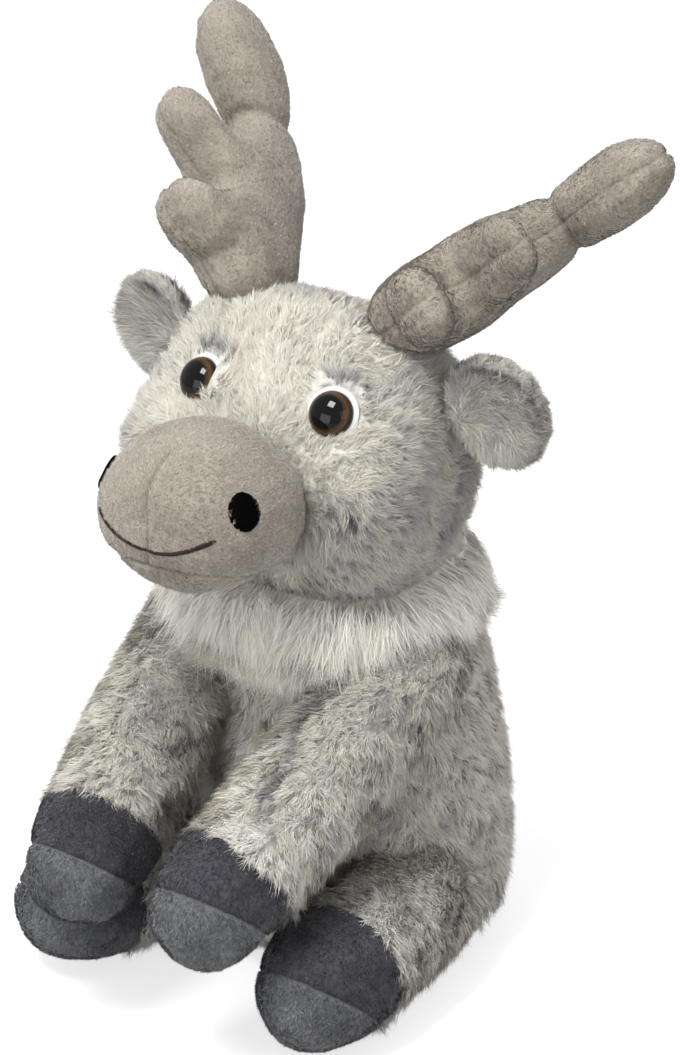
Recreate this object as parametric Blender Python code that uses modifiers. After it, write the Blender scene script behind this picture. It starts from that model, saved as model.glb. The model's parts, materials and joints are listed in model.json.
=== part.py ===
"""Plush deer, sitting: sewn fabric covers over stuffing, with jointed head, legs, ears and antlers.

Units are metres, +Z is up, and the deer faces -Y, so its left side is +X.
The origin is the middle of the flat seat under the body.
"""
import math

import bmesh
import bpy
from mathutils import Matrix, Vector
from mathutils.bvhtree import BVHTree

# Sewing: pile and backing of each fabric, and the room left between pieces
FUR_WALL = 0.0024
SHORT_PILE_WALL = 0.0016
SEAM_GAP = 0.0003
JOINT_GAP = 0.0009
NECK_GAP = 0.0010
FILL_GAP = 0.0008
TINE_FILL_GAP = 0.0014

# Body: a pear that sits on its flattened bottom
TORSO_HALF_WIDTH = 0.056
TORSO_HALF_DEPTH = 0.051
TORSO_HEIGHT = 0.150
TORSO_SET_BACK = 0.003
SEAT_RING_DROP = 0.0013
PELLET_BAG_TOP = 0.017

# Head: round about its nodding axis
HEAD_RADIUS = 0.0480
HEAD_HALF_WIDTH = 0.0515
HEAD_FORWARD = 0.0175
HEAD_SINK = 0.0205
HEAD_HEIGHT = TORSO_HEIGHT + HEAD_RADIUS - HEAD_SINK
NECK_MOUTH_RADIUS = 0.020

# Muzzle, with the chin panel below its mouth seam
MUZZLE_HALF_WIDTH = 0.0325
MUZZLE_HALF_HEIGHT = 0.0265
MUZZLE_ROOT_FORWARD = 0.026
MUZZLE_REACH = 0.082
MUZZLE_DEPTH = MUZZLE_REACH - MUZZLE_ROOT_FORWARD
MUZZLE_DROP = 0.0035
CHIN_SEAM_BELOW = 0.017
CHIN_SEAM_TILT = math.radians(12)

# Embroidery on the muzzle
THREAD_HEIGHT = 0.0010
NOSTRIL_HALF_WIDTH = 0.0052
NOSTRIL_HALF_HEIGHT = 0.0052
NOSTRIL_SIDE = 0.0230
NOSTRIL_UP = 0.0090
NOSTRIL_FACING = math.radians(20)
NOSTRIL_RAY_DEPTH = 0.012
MOUTH_HALF_WIDTH = 0.0212
MOUTH_RISE = 0.0070
MOUTH_BELOW = 0.0060
MOUTH_THREAD_WIDTH = 0.0016
SMILE_POINTS = 9

# Safety eyes: ring, lens, pupil with its stem, and lock washer
EYE_SIDE = 0.0250
EYE_UP = 0.0208
EYE_RING_RADIUS = 0.0088
EYE_RING_HEIGHT = 0.0022
EYE_LENS_RADIUS = 0.0072
EYE_LENS_HEIGHT = 0.0036
EYE_LENS_WALL = 0.0012
EYE_PUPIL_RADIUS = 0.0048
EYE_PUPIL_HEIGHT = 0.0010
EYE_STEM_RADIUS = 0.0016
EYE_STEM_LENGTH = 0.0110
EYE_WASHER_RADIUS = 0.0065
EYE_WASHER_HEIGHT = 0.0012
EYE_SINK = 0.0012
WASHER_SINK = 0.0006
LENS_PROFILE_STEPS = 4

# Ears: round and dished, sewn on at one edge
EAR_RADIUS = 0.0180
EAR_HALF_HEIGHT = 0.0200
EAR_HALF_THICKNESS = 0.0045
EAR_SINK = 0.0006
EAR_DISH = 0.0035
EAR_UP_ANGLE = math.radians(18.5)
EAR_BACK_ANGLE = math.radians(7)
EAR_FACING = math.radians(30)

# Antlers: a beam with two tines, flat and stuffed
ANTLER_LENGTH = 0.104
ANTLER_HALF_THICKNESS = 0.0140
ANTLER_PALM_HALF_WIDTH = 0.0210
ANTLER_TINE_HALF_WIDTH = 0.0095
ANTLER_ROOT_RADIUS = 0.0145
ANTLER_SOCKET_GAP = 0.0008
ANTLER_MOUTH_RADIUS = 0.0070
ANTLER_SWING = math.radians(15)
ANTLER_SIDE = 0.0295
ANTLER_BACK = 0.0110
ANTLER_SPLAY = {"left": math.radians(51), "right": math.radians(31)}
ANTLER_RAKE = {"left": math.radians(12), "right": math.radians(22)}
ANTLER_TWIST = {"left": math.radians(1), "right": math.radians(-6)}

# Collar: the flared band of the long fur in the neck seam
COLLAR_BAND = 0.022
COLLAR_BELOW_NECK = 0.008
COLLAR_TOP = TORSO_HEIGHT - COLLAR_BELOW_NECK
COLLAR_BOTTOM = COLLAR_TOP - COLLAR_BAND
COLLAR_INNER_RADIUS = 0.030
COLLAR_OUTER_SHARE = 0.875
COLLAR_OUTER_RADIUS = TORSO_HALF_WIDTH * COLLAR_OUTER_SHARE
COLLAR_FORWARD = 0.003
COLLAR_FLARE = 0.0050
COLLAR_NECK_GAP = 0.0022

# Front legs: from a ball at the shoulder to a hoof held over the hind hooves
SHOULDER_SIDE = 0.040
SHOULDER_FORWARD = 0.016
SHOULDER_BELOW_NECK = 0.040
SHOULDER_HEIGHT = TORSO_HEIGHT - SHOULDER_BELOW_NECK
SHOULDER_RADIUS = 0.0215
FRONT_HOOF_SIDE = {"left": 0.0225, "right": 0.0275}
FRONT_HOOF_FORWARD = 0.098
FRONT_HOOF_RADIUS = 0.0220
FRONT_LEG_LIFT = math.radians(18)
FRONT_LEG_LIFT_STEPS = 2
HOOF_STACK = 0.0110

# Hind legs: from a ball at the hip, forward along the floor
HIP_SIDE = 0.038
HIP_FORWARD = 0.014
HIP_RADIUS = 0.0275
HIND_HOOF_SIDE = {"left": 0.0450, "right": 0.0530}
HIND_HOOF_FORWARD = 0.074
HIND_HOOF_RADIUS = 0.0220
FRONT_HOOF_HEIGHT = 2 * HIND_HOOF_RADIUS + HOOF_STACK
FLOOR_CLEARANCE = 0.0004

# Hooves: how much of the limb they cover, and how the sole panel faces
HOOF_LENGTH_SHARE = 0.62
SOLE_TILT = math.radians(42)
SOLE_SEAM_DROP = 0.0012

# Cages of the stuffed forms: each ring's place and size as shares of the form's own sizes
TORSO_HEIGHT_SHARES = (0.0, 0.10, 0.42, 0.78, 1.0)
TORSO_RADIUS_SHARES = (0.86, 1.08, 1.05, 0.84, 0.62)
HEAD_WIDTH_SHARES = (-0.99, -0.68, 0.0, 0.68, 0.99)
HEAD_RADIUS_SHARES = (0.64, 0.98, 1.05, 0.98, 0.64)
FOREHEAD_SHARE = 0.36
NAPE_SHARE = 0.86
MUZZLE_DEPTH_SHARES = (0.0, 0.52, 0.835, 1.0)
MUZZLE_SIZE_SHARES = (0.90, 1.06, 0.88, 0.48)
LIMB_END_SHARE = 0.92
HOOF_MIDDLE_SHARE = 0.10
END_RING_SHARE = 0.62
ROOT_BULGE_SHARE = 1.05
HOOF_BULGE_SHARE = 1.09
COLLAR_BULGE_HEIGHT_SHARE = 0.45
COLLAR_HEM_FLARE_SHARE = 0.5
EYE_RING_CREST_SHARE = 0.86

# Antler rings: along the beam, towards the back, half width and half thickness
BEAM_SHARES = (
    (-0.10, -0.02, 0.80, 0.98),
    (0.08, -0.01, 0.92, 1.06),
    (0.26, 0.08, 1.05, 1.06),
    (0.44, 0.14, 0.80, 0.92),
    (0.53, 0.17, 0.42, 0.66),
    (0.68, 0.14, 0.86, 1.04),
    (0.97, 0.09, 0.56, 0.66),
)
MIDDLE_TINE_SHARES = ((0.44, -0.135, 0.95, 0.90), (0.56, -0.245, 0.66, 0.62))
BROW_TINE_SHARES = ((0.16, -0.22, 1.20, 0.95), (0.26, -0.31, 0.80, 0.70))
MIDDLE_TINE_FOOT_SHARE = 0.36
BROW_TINE_FOOT_SHARE = 0.17

# Ear rings from the back to the rim: through the thickness, and radius
EAR_RING_SHARES = ((-1.00, 0.55), (-0.55, 1.00), (0.55, 1.02), (1.00, 0.80))
EAR_DISH_SHARE = 0.36

SIDE_SIGN = {"left": 1.0, "right": -1.0}
FORM_SIDES = 6
LIMB_SIDES = 4
BALL_SEGMENTS = 12
COLLAR_STEPS = 16
SMALL_TURN_STEPS = 12
FORM_ROUNDING_STEPS = 2
FILL_ROUNDING_STEPS = 1
SLENDER_FORM_SHARE = 0.5
MERGE_DISTANCE = 0.00002
HALF_SPACE_SIZE = 0.4

COLOURS = {
    "grey_fur": (0.49, 0.47, 0.43),
    "cream_fur": (0.74, 0.70, 0.60),
    "taupe_pile": (0.50, 0.43, 0.37),
    "dark_hoof_pile": (0.075, 0.075, 0.095),
    "light_hoof_pile": (0.16, 0.165, 0.18),
    "stuffing": (0.85, 0.85, 0.83),
    "pellet_cloth": (0.55, 0.52, 0.45),
    "black_thread": (0.012, 0.010, 0.010),
    "brown_thread": (0.055, 0.022, 0.016),
    "white_plastic": (0.85, 0.85, 0.84),
    "brown_lens": (0.10, 0.035, 0.012),
    "black_plastic": (0.008, 0.008, 0.009),
    "washer_plastic": (0.70, 0.70, 0.68),
}
ROUGHNESS = {"brown_lens": 0.08, "black_plastic": 0.15, "white_plastic": 0.45}
CLOTH_ROUGHNESS = 0.95


def clear_scene():
    for obj in list(bpy.data.objects):
        bpy.data.objects.remove(obj)


def new_collection(name):
    collection = bpy.data.collections.new(name)
    bpy.context.scene.collection.children.link(collection)
    return collection


def make_material(node_name, colour_name):
    material = bpy.data.materials.new(node_name)
    material.use_nodes = True
    shader = material.node_tree.nodes["Principled BSDF"]
    shader.inputs["Base Color"].default_value = (*COLOURS[colour_name], 1.0)
    shader.inputs["Roughness"].default_value = ROUGHNESS.get(colour_name, CLOTH_ROUGHNESS)
    shader.inputs["Metallic"].default_value = 0.0
    return material


def add_part(name, mesh, colour_name, parent=None, place=None):
    """Add one sub-part; its mesh is in its parent's space unless a place is given."""
    obj = bpy.data.objects.new(name, mesh)
    parts.objects.link(obj)
    obj.parent = parent
    if place is not None:
        obj.matrix_basis = place
    obj.data.materials.clear()
    obj.data.materials.append(make_material(name, colour_name))
    return obj


def add_cutter(name, mesh, parent=None, place=None):
    obj = bpy.data.objects.new(name, mesh)
    cutters.objects.link(obj)
    obj.parent = parent
    if place is not None:
        obj.matrix_basis = place
    obj.display_type = "WIRE"
    obj.hide_render = True
    return obj


def add_pivot(name, place, parent=None):
    pivot = bpy.data.objects.new(name, None)
    parts.objects.link(pivot)
    pivot.parent = parent
    pivot.matrix_basis = place
    return pivot


def subdivide(obj, level):
    """Round a cage, and split its four-sided faces all the same way, so nested forms stay apart."""
    rounding = obj.modifiers.new("round", "SUBSURF")
    rounding.levels = level
    rounding.render_levels = level
    split = obj.modifiers.new("split", "TRIANGULATE")
    split.quad_method = "FIXED"
    return obj


def cut(obj, cutter, operation="DIFFERENCE"):
    modifier = obj.modifiers.new(operation.lower(), "BOOLEAN")
    modifier.operation = operation
    modifier.solver = "EXACT"
    modifier.object = cutter
    return obj


def finish_mesh(bm, name):
    bmesh.ops.recalc_face_normals(bm, faces=bm.faces[:])
    mesh = bpy.data.meshes.new(name)
    bm.to_mesh(mesh)
    bm.free()
    return mesh


def frame_at(centre, direction, across, half_across, half_other):
    """Matrix that puts a unit ring square to a direction, with its X along across."""
    forward = direction.normalized()
    side = (across - forward * across.dot(forward)).normalized()
    other = forward.cross(side)
    columns = (side * half_across, other * half_other, forward, centre)
    matrix = Matrix.Identity(4)
    for index, column in enumerate(columns):
        matrix[0][index], matrix[1][index], matrix[2][index] = column
    return matrix


def ring_cage(name, frames, sides):
    """Closed cage: a ring extruded from frame to frame, its flats one unit from its middle."""
    bm = bmesh.new()
    bmesh.ops.create_circle(bm, cap_ends=True, segments=sides, radius=1 / math.cos(math.pi / sides))
    bm.faces.ensure_lookup_table()
    face = bm.faces[0]
    unit_ring = [vert.co.copy() for vert in face.verts]
    start_ring = list(face.verts)
    for vert, place in zip(start_ring, unit_ring):
        vert.co = frames[0] @ place
    for frame in frames[1:]:
        face = bmesh.ops.extrude_discrete_faces(bm, faces=[face])["faces"][0]
        for vert, place in zip(face.verts, unit_ring):
            vert.co = frame @ place
    bmesh.ops.contextual_create(bm, geom=start_ring)
    return finish_mesh(bm, name)


def ball_mesh(name, radius):
    bm = bmesh.new()
    bmesh.ops.create_uvsphere(bm, u_segments=BALL_SEGMENTS, v_segments=BALL_SEGMENTS // 2, radius=radius)
    return finish_mesh(bm, name)


def socket_mesh(name, ball_radius):
    """Ball whose flats, not only its corners, clear the ball that turns in it."""
    flats = math.cos(math.pi / BALL_SEGMENTS)
    return ball_mesh(name, (ball_radius + JOINT_GAP) / flats ** 2)


def cylinder_mesh(name, radius, low, high, segments=BALL_SEGMENTS):
    """Cylinder on the local Z axis from low to high."""
    bm = bmesh.new()
    middle = Matrix.Translation((0, 0, (low + high) / 2))
    bmesh.ops.create_cone(bm, cap_ends=True, segments=segments, radius1=radius, radius2=radius,
                          depth=high - low, matrix=middle)
    return finish_mesh(bm, name)


def half_space(name, place, parent=None):
    """Large box that fills everything above the local XY plane of its place."""
    bm = bmesh.new()
    middle = Matrix.Translation((0, 0, HALF_SPACE_SIZE / 2))
    bmesh.ops.create_cube(bm, size=HALF_SPACE_SIZE, matrix=middle)
    return add_cutter(name, finish_mesh(bm, name), parent, place)


def plane_at(point, normal):
    """Place whose local Z is the normal."""
    turn = normal.normalized().to_track_quat("Z", "Y").to_matrix().to_4x4()
    return Matrix.Translation(point) @ turn


def turned_mesh(name, profile, steps=SMALL_TURN_STEPS):
    """Solid of revolution about local Z; the profile runs down its outer side from pole to pole."""
    bm = bmesh.new()
    verts = [bm.verts.new((radius, 0, height)) for radius, height in profile]
    edges = [bm.edges.new(pair) for pair in zip(verts, verts[1:])]
    if profile[0][0] > 0:
        edges.append(bm.edges.new((verts[-1], verts[0])))
    bmesh.ops.spin(bm, geom=verts + edges, cent=(0, 0, 0), axis=(0, 0, 1),
                   angle=2 * math.pi, steps=steps)
    bmesh.ops.remove_doubles(bm, verts=bm.verts[:], dist=MERGE_DISTANCE)
    return finish_mesh(bm, name)


def surface_seat(form, start, direction):
    """Point and outward normal where a ray from inside a form leaves it, in the form's own space."""
    bpy.context.view_layer.update()
    shape = BVHTree.FromObject(form, bpy.context.evaluated_depsgraph_get())
    point, normal, _, _ = shape.ray_cast(start, direction)
    return point, normal


def stuffed_shell(name, mesh_of_inset, wall, colour_name, parent, place=None, kept_share=1.0):
    """Fabric shell around a core; returns the shell and the cutter of the core."""
    shell = subdivide(add_part(name, mesh_of_inset(0.0), colour_name, parent, place), FORM_ROUNDING_STEPS)
    if kept_share < 1:
        thinning = shell.modifiers.new("thin", "DECIMATE")
        thinning.ratio = kept_share
    core = subdivide(add_cutter(name + "_core", mesh_of_inset(wall), parent, place), FILL_ROUNDING_STEPS)
    cut(shell, core)
    return shell, core


def torso_mesh(inset):
    """Rings stand up from the seat to the neck."""
    frames = []
    last = len(TORSO_HEIGHT_SHARES) - 1
    for index, (height_share, radius_share) in enumerate(zip(TORSO_HEIGHT_SHARES, TORSO_RADIUS_SHARES)):
        end_shift = inset - SEAT_RING_DROP if index == 0 else -inset if index == last else 0.0
        centre = Vector((0, TORSO_SET_BACK, TORSO_HEIGHT * height_share + end_shift))
        frames.append(frame_at(centre, Vector((0, 0, 1)), Vector((1, 0, 0)),
                               TORSO_HALF_WIDTH * radius_share - inset,
                               TORSO_HALF_DEPTH * radius_share - inset))
    return ring_cage("torso", frames, FORM_SIDES)


def head_mesh(inset):
    """Rings stand along the nodding axis; the lower half stays round, and turns in the neck."""
    frames = []
    widest = max(HEAD_WIDTH_SHARES)
    for width_share, radius_share in zip(HEAD_WIDTH_SHARES, HEAD_RADIUS_SHARES):
        end_shift = inset * width_share / widest if abs(width_share) == widest else 0.0
        centre = Vector((HEAD_HALF_WIDTH * width_share - end_shift, 0, 0))
        radius = HEAD_RADIUS * radius_share - inset
        frames.append(frame_at(centre, Vector((1, 0, 0)), Vector((0, 1, 0)), radius, radius))
    mesh = ring_cage("head", frames, FORM_SIDES)
    for vert in mesh.vertices:
        if vert.co.z > 0:
            vert.co.y *= FOREHEAD_SHARE if vert.co.y < 0 else NAPE_SHARE
    return mesh


def muzzle_mesh(inset):
    """Rings stand along -Y, from inside the head to the nose."""
    frames = []
    last = len(MUZZLE_DEPTH_SHARES) - 1
    for index, (depth_share, size_share) in enumerate(zip(MUZZLE_DEPTH_SHARES, MUZZLE_SIZE_SHARES)):
        end_shift = inset if index == last else 0.0
        forward = MUZZLE_REACH - MUZZLE_DEPTH * (1 - depth_share) - end_shift
        frames.append(frame_at(Vector((0, -forward, -MUZZLE_DROP)), Vector((0, -1, 0)), Vector((1, 0, 0)),
                               MUZZLE_HALF_WIDTH * size_share - inset,
                               MUZZLE_HALF_HEIGHT * size_share - inset))
    return ring_cage("muzzle", frames, FORM_SIDES)


def limb_mesh(root_radius, hoof_radius, length):
    """Limb along local Z, from a ball about the origin to a round hoof."""
    def of_inset(inset):
        root_end = -root_radius * LIMB_END_SHARE + inset
        toe_end = length + hoof_radius * LIMB_END_SHARE - inset
        hoof_middle = length - hoof_radius * HOOF_MIDDLE_SHARE
        rings = (
            (root_end, root_radius * END_RING_SHARE),
            (0.0, root_radius * ROOT_BULGE_SHARE),
            (hoof_middle, hoof_radius * HOOF_BULGE_SHARE),
            (toe_end, hoof_radius * END_RING_SHARE),
        )
        frames = []
        for height, radius in rings:
            frames.append(frame_at(Vector((0, 0, height)), Vector((0, 0, 1)), Vector((1, 0, 0)),
                                   radius - inset, radius - inset))
        return ring_cage("limb", frames, LIMB_SIDES)
    return of_inset


def extrude_to(bm, face, centre, across, half_across, facing, half_facing):
    """Extrude a four-sided face to a new place, size and turn; returns the new face."""
    middle = face.calc_center_median()
    face = bmesh.ops.extrude_discrete_faces(bm, faces=[face])["faces"][0]
    for vert in face.verts:
        offset = vert.co - middle
        across_sign = math.copysign(1, offset.dot(across))
        facing_sign = math.copysign(1, offset.dot(facing))
        vert.co = centre + across * half_across * across_sign + facing * half_facing * facing_sign
    return face


def antler_mesh(inset):
    """Antler with its beam up local Z, its tines towards -Y and its flat sides facing X."""
    backward, upward, facing = Vector((0, 1, 0)), Vector((0, 0, 1)), Vector((1, 0, 0))
    bm = bmesh.new()
    bmesh.ops.create_circle(bm, cap_ends=True, segments=4, radius=ANTLER_ROOT_RADIUS,
                            matrix=Matrix.Rotation(math.pi / 4, 4, "Z"))
    bm.faces.ensure_lookup_table()
    beam_face = bm.faces[0]
    start_ring = list(beam_face.verts)
    first = BEAM_SHARES[0]
    for vert in start_ring:
        y_sign, x_sign = math.copysign(1, vert.co.y), math.copysign(1, vert.co.x)
        vert.co = Vector((x_sign * (ANTLER_HALF_THICKNESS * first[3] - inset),
                          y_sign * (ANTLER_PALM_HALF_WIDTH * first[2] - inset),
                          ANTLER_LENGTH * first[0] + inset))
    for index, (up, back, width, thick) in enumerate(BEAM_SHARES[1:], 1):
        end_shift = inset if index == len(BEAM_SHARES) - 1 else 0.0
        centre = Vector((0, ANTLER_LENGTH * back, ANTLER_LENGTH * up - end_shift))
        beam_face = extrude_to(bm, beam_face, centre, backward, ANTLER_PALM_HALF_WIDTH * width - inset,
                               facing, ANTLER_HALF_THICKNESS * thick - inset)
    bmesh.ops.contextual_create(bm, geom=start_ring)
    for foot_share, tine in ((MIDDLE_TINE_FOOT_SHARE, MIDDLE_TINE_SHARES),
                             (BROW_TINE_FOOT_SHARE, BROW_TINE_SHARES)):
        face = front_face(bm, ANTLER_LENGTH * foot_share)
        for index, (up, back, width, thick) in enumerate(tine):
            end_shift = inset if index == len(tine) - 1 else 0.0
            centre = Vector((0, ANTLER_LENGTH * back + end_shift, ANTLER_LENGTH * up))
            face = extrude_to(bm, face, centre, upward, ANTLER_TINE_HALF_WIDTH * width - inset,
                              facing, ANTLER_HALF_THICKNESS * thick - inset)
    return finish_mesh(bm, "antler")


def front_face(bm, height):
    """Face of the beam that looks towards -Y nearest to a height."""
    bmesh.ops.recalc_face_normals(bm, faces=bm.faces[:])
    candidates = [face for face in bm.faces if face.normal.y < -abs(face.normal.x)
                  and face.normal.y < -abs(face.normal.z)]
    return min(candidates, key=lambda face: abs(face.calc_center_median().z - height))


def ear_mesh():
    """Dished disc that stands out along local X from a hinge on local Z, facing -Y."""
    frames = []
    middle = EAR_RADIUS - EAR_HALF_THICKNESS
    for thickness_share, radius_share in EAR_RING_SHARES:
        centre = Vector((middle, -EAR_HALF_THICKNESS * thickness_share, 0))
        frames.append(frame_at(centre, Vector((0, -1, 0)), Vector((1, 0, 0)),
                               EAR_RADIUS * radius_share, EAR_HALF_HEIGHT * radius_share))
    dish = Vector((middle, -(EAR_HALF_THICKNESS - EAR_DISH), 0))
    frames.append(frame_at(dish, Vector((0, -1, 0)), Vector((1, 0, 0)),
                           EAR_RADIUS * EAR_DISH_SHARE, EAR_HALF_HEIGHT * EAR_DISH_SHARE))
    return ring_cage("ear", frames, FORM_SIDES)


def build_body(head_room):
    """Body cover, its stuffing, the pellet bag and the collar."""
    cover, _ = stuffed_shell("body_cover", torso_mesh, FUR_WALL, "grey_fur", None)
    floor_cutter = half_space("floor_cutter", plane_at(Vector((0, 0, 0)), Vector((0, 0, -1))))
    cut(cover, floor_cutter)
    cut(cover, head_room)

    bag_top = plane_at(Vector((0, 0, PELLET_BAG_TOP)), Vector((0, 0, 1)))
    above_bag = half_space("above_pellet_bag", bag_top)
    stuffing_bottom = plane_at(Vector((0, 0, PELLET_BAG_TOP + SEAM_GAP)), Vector((0, 0, -1)))
    below_stuffing = half_space("below_body_stuffing", stuffing_bottom)
    fill_inset = FUR_WALL + FILL_GAP
    stuffing = subdivide(add_part("body_stuffing", torso_mesh(fill_inset), "stuffing"), FILL_ROUNDING_STEPS)
    cut(stuffing, below_stuffing)
    cut(stuffing, head_room)
    bag = subdivide(add_part("pellet_bag", torso_mesh(fill_inset), "pellet_cloth"), FILL_ROUNDING_STEPS)
    cut(bag, above_bag)
    return [cover, stuffing, bag]


def build_collar(pivot, torso_room):
    """Band that widens downwards, open enough above for the nodding head."""
    profile = (
        (COLLAR_INNER_RADIUS, COLLAR_TOP),
        (COLLAR_OUTER_RADIUS - COLLAR_FLARE, COLLAR_TOP),
        (COLLAR_OUTER_RADIUS, COLLAR_BOTTOM + COLLAR_BAND * COLLAR_BULGE_HEIGHT_SHARE),
        (COLLAR_OUTER_RADIUS - COLLAR_FLARE * COLLAR_HEM_FLARE_SHARE, COLLAR_BOTTOM),
        (COLLAR_INNER_RADIUS, COLLAR_BOTTOM),
    )
    place = Matrix.Translation((0, -COLLAR_FORWARD, 0))
    collar = add_part("collar", turned_mesh("collar", profile, COLLAR_STEPS), "cream_fur", None, place)
    nod_room = subdivide(add_cutter("nod_room", head_mesh(-COLLAR_NECK_GAP), pivot), FORM_ROUNDING_STEPS)
    cut(collar, torso_room)
    cut(collar, nod_room)
    return collar


def build_head(pivot):
    """Head cover with its neck mouth, and its stuffing."""
    cover, core = stuffed_shell("head_cover", head_mesh, FUR_WALL, "grey_fur", pivot)
    mouth = cylinder_mesh("neck_mouth", NECK_MOUTH_RADIUS, -HEAD_RADIUS * 2, 0)
    mouth_cutter = add_cutter("neck_mouth", mouth, pivot)
    cut(mouth_cutter, core)
    cut(cover, mouth_cutter)
    stuffing = add_part("head_stuffing", head_mesh(FUR_WALL + FILL_GAP), "stuffing", pivot)
    subdivide(stuffing, FILL_ROUNDING_STEPS)
    return cover, stuffing


def build_muzzle(pivot, head_clear):
    """Muzzle cover and chin panel share one shell, split at the mouth seam."""
    seam_point = Vector((0, -MUZZLE_REACH + MUZZLE_DEPTH / 2, -MUZZLE_DROP - CHIN_SEAM_BELOW))
    seam_normal = Vector((0, math.sin(CHIN_SEAM_TILT), math.cos(CHIN_SEAM_TILT)))
    above_seam = half_space("above_chin_seam", plane_at(seam_point, seam_normal), pivot)
    below_point = seam_point + seam_normal * SEAM_GAP
    below_seam = half_space("below_chin_seam", plane_at(below_point, -seam_normal), pivot)
    pieces = []
    for name, other_side in (("muzzle_cover", below_seam), ("chin_panel", above_seam)):
        shell, _ = stuffed_shell(name, muzzle_mesh, SHORT_PILE_WALL, "taupe_pile", pivot)
        cut(shell, head_clear)
        cut(shell, other_side)
        pieces.append(shell)
    fill = add_part("muzzle_stuffing", muzzle_mesh(SHORT_PILE_WALL + FILL_GAP), "stuffing", pivot)
    subdivide(fill, FILL_ROUNDING_STEPS)
    cut(fill, head_clear)
    return pieces + [fill]


def muzzle_layer(name, outer_inset, pivot):
    """The muzzle's surface, raised by a negative inset."""
    return subdivide(add_cutter(name, muzzle_mesh(outer_inset), pivot), FORM_ROUNDING_STEPS)


def build_embroidery(pivot):
    """Nostrils and mouth: thin pads of thread that follow the muzzle."""
    under = muzzle_layer("thread_underside", -SEAM_GAP, pivot)
    for side, sign in SIDE_SIGN.items():
        facing = Vector((sign * math.sin(NOSTRIL_FACING), -math.cos(NOSTRIL_FACING), 0))
        inside = Vector((sign * NOSTRIL_SIDE, 0, NOSTRIL_UP - MUZZLE_DROP))
        inside.y = -(MUZZLE_REACH - MUZZLE_DEPTH / 2)
        point, _ = surface_seat(under, inside - facing * NOSTRIL_RAY_DEPTH, facing)
        pad = cylinder_mesh("nostril", 1.0, -NOSTRIL_HALF_HEIGHT, NOSTRIL_HALF_HEIGHT, SMALL_TURN_STEPS)
        oval = Matrix.Diagonal((NOSTRIL_HALF_WIDTH, NOSTRIL_HALF_HEIGHT, 1, 1))
        pad.transform(frame_at(point, facing, Vector((0, 0, 1)).cross(facing), 1, 1) @ oval)
        nostril = add_part(side + "_nostril", pad, "black_thread", pivot)
        cut(nostril, muzzle_layer(side + "_nostril_top", -SEAM_GAP - THREAD_HEIGHT, pivot), "INTERSECT")
        cut(nostril, under)
    mouth = add_part("mouth_stitching", smile_mesh(), "brown_thread", pivot)
    cut(mouth, muzzle_layer("mouth_top", -SEAM_GAP - THREAD_HEIGHT, pivot), "INTERSECT")
    cut(mouth, under)


def smile_mesh():
    """Upright ribbon along the smile, deep enough to reach through the muzzle's surface."""
    bm = bmesh.new()
    rows = []
    for index in range(SMILE_POINTS):
        share = 2 * index / (SMILE_POINTS - 1) - 1
        x = MOUTH_HALF_WIDTH * share
        z = MOUTH_RISE * share ** 2 - MOUTH_BELOW - MUZZLE_DROP
        lean = math.atan(2 * MOUTH_RISE * share / MOUTH_HALF_WIDTH)
        across = Vector((-math.sin(lean), 0, math.cos(lean))) * MOUTH_THREAD_WIDTH / 2
        rows.append((Vector((x, -MUZZLE_REACH * 2, z)) + across, Vector((x, -MUZZLE_REACH * 2, z)) - across))
    tops = [bm.verts.new(row[0]) for row in rows]
    bottoms = [bm.verts.new(row[1]) for row in rows]
    faces = []
    for index in range(SMILE_POINTS - 1):
        faces.append(bm.faces.new((tops[index], tops[index + 1], bottoms[index + 1], bottoms[index])))
    grown = bmesh.ops.extrude_face_region(bm, geom=faces)["geom"]
    moved = [item for item in grown if isinstance(item, bmesh.types.BMVert)]
    bmesh.ops.translate(bm, verts=moved, vec=Vector((0, MUZZLE_REACH + MUZZLE_DEPTH / 2, 0)))
    return finish_mesh(bm, "smile")


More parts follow.
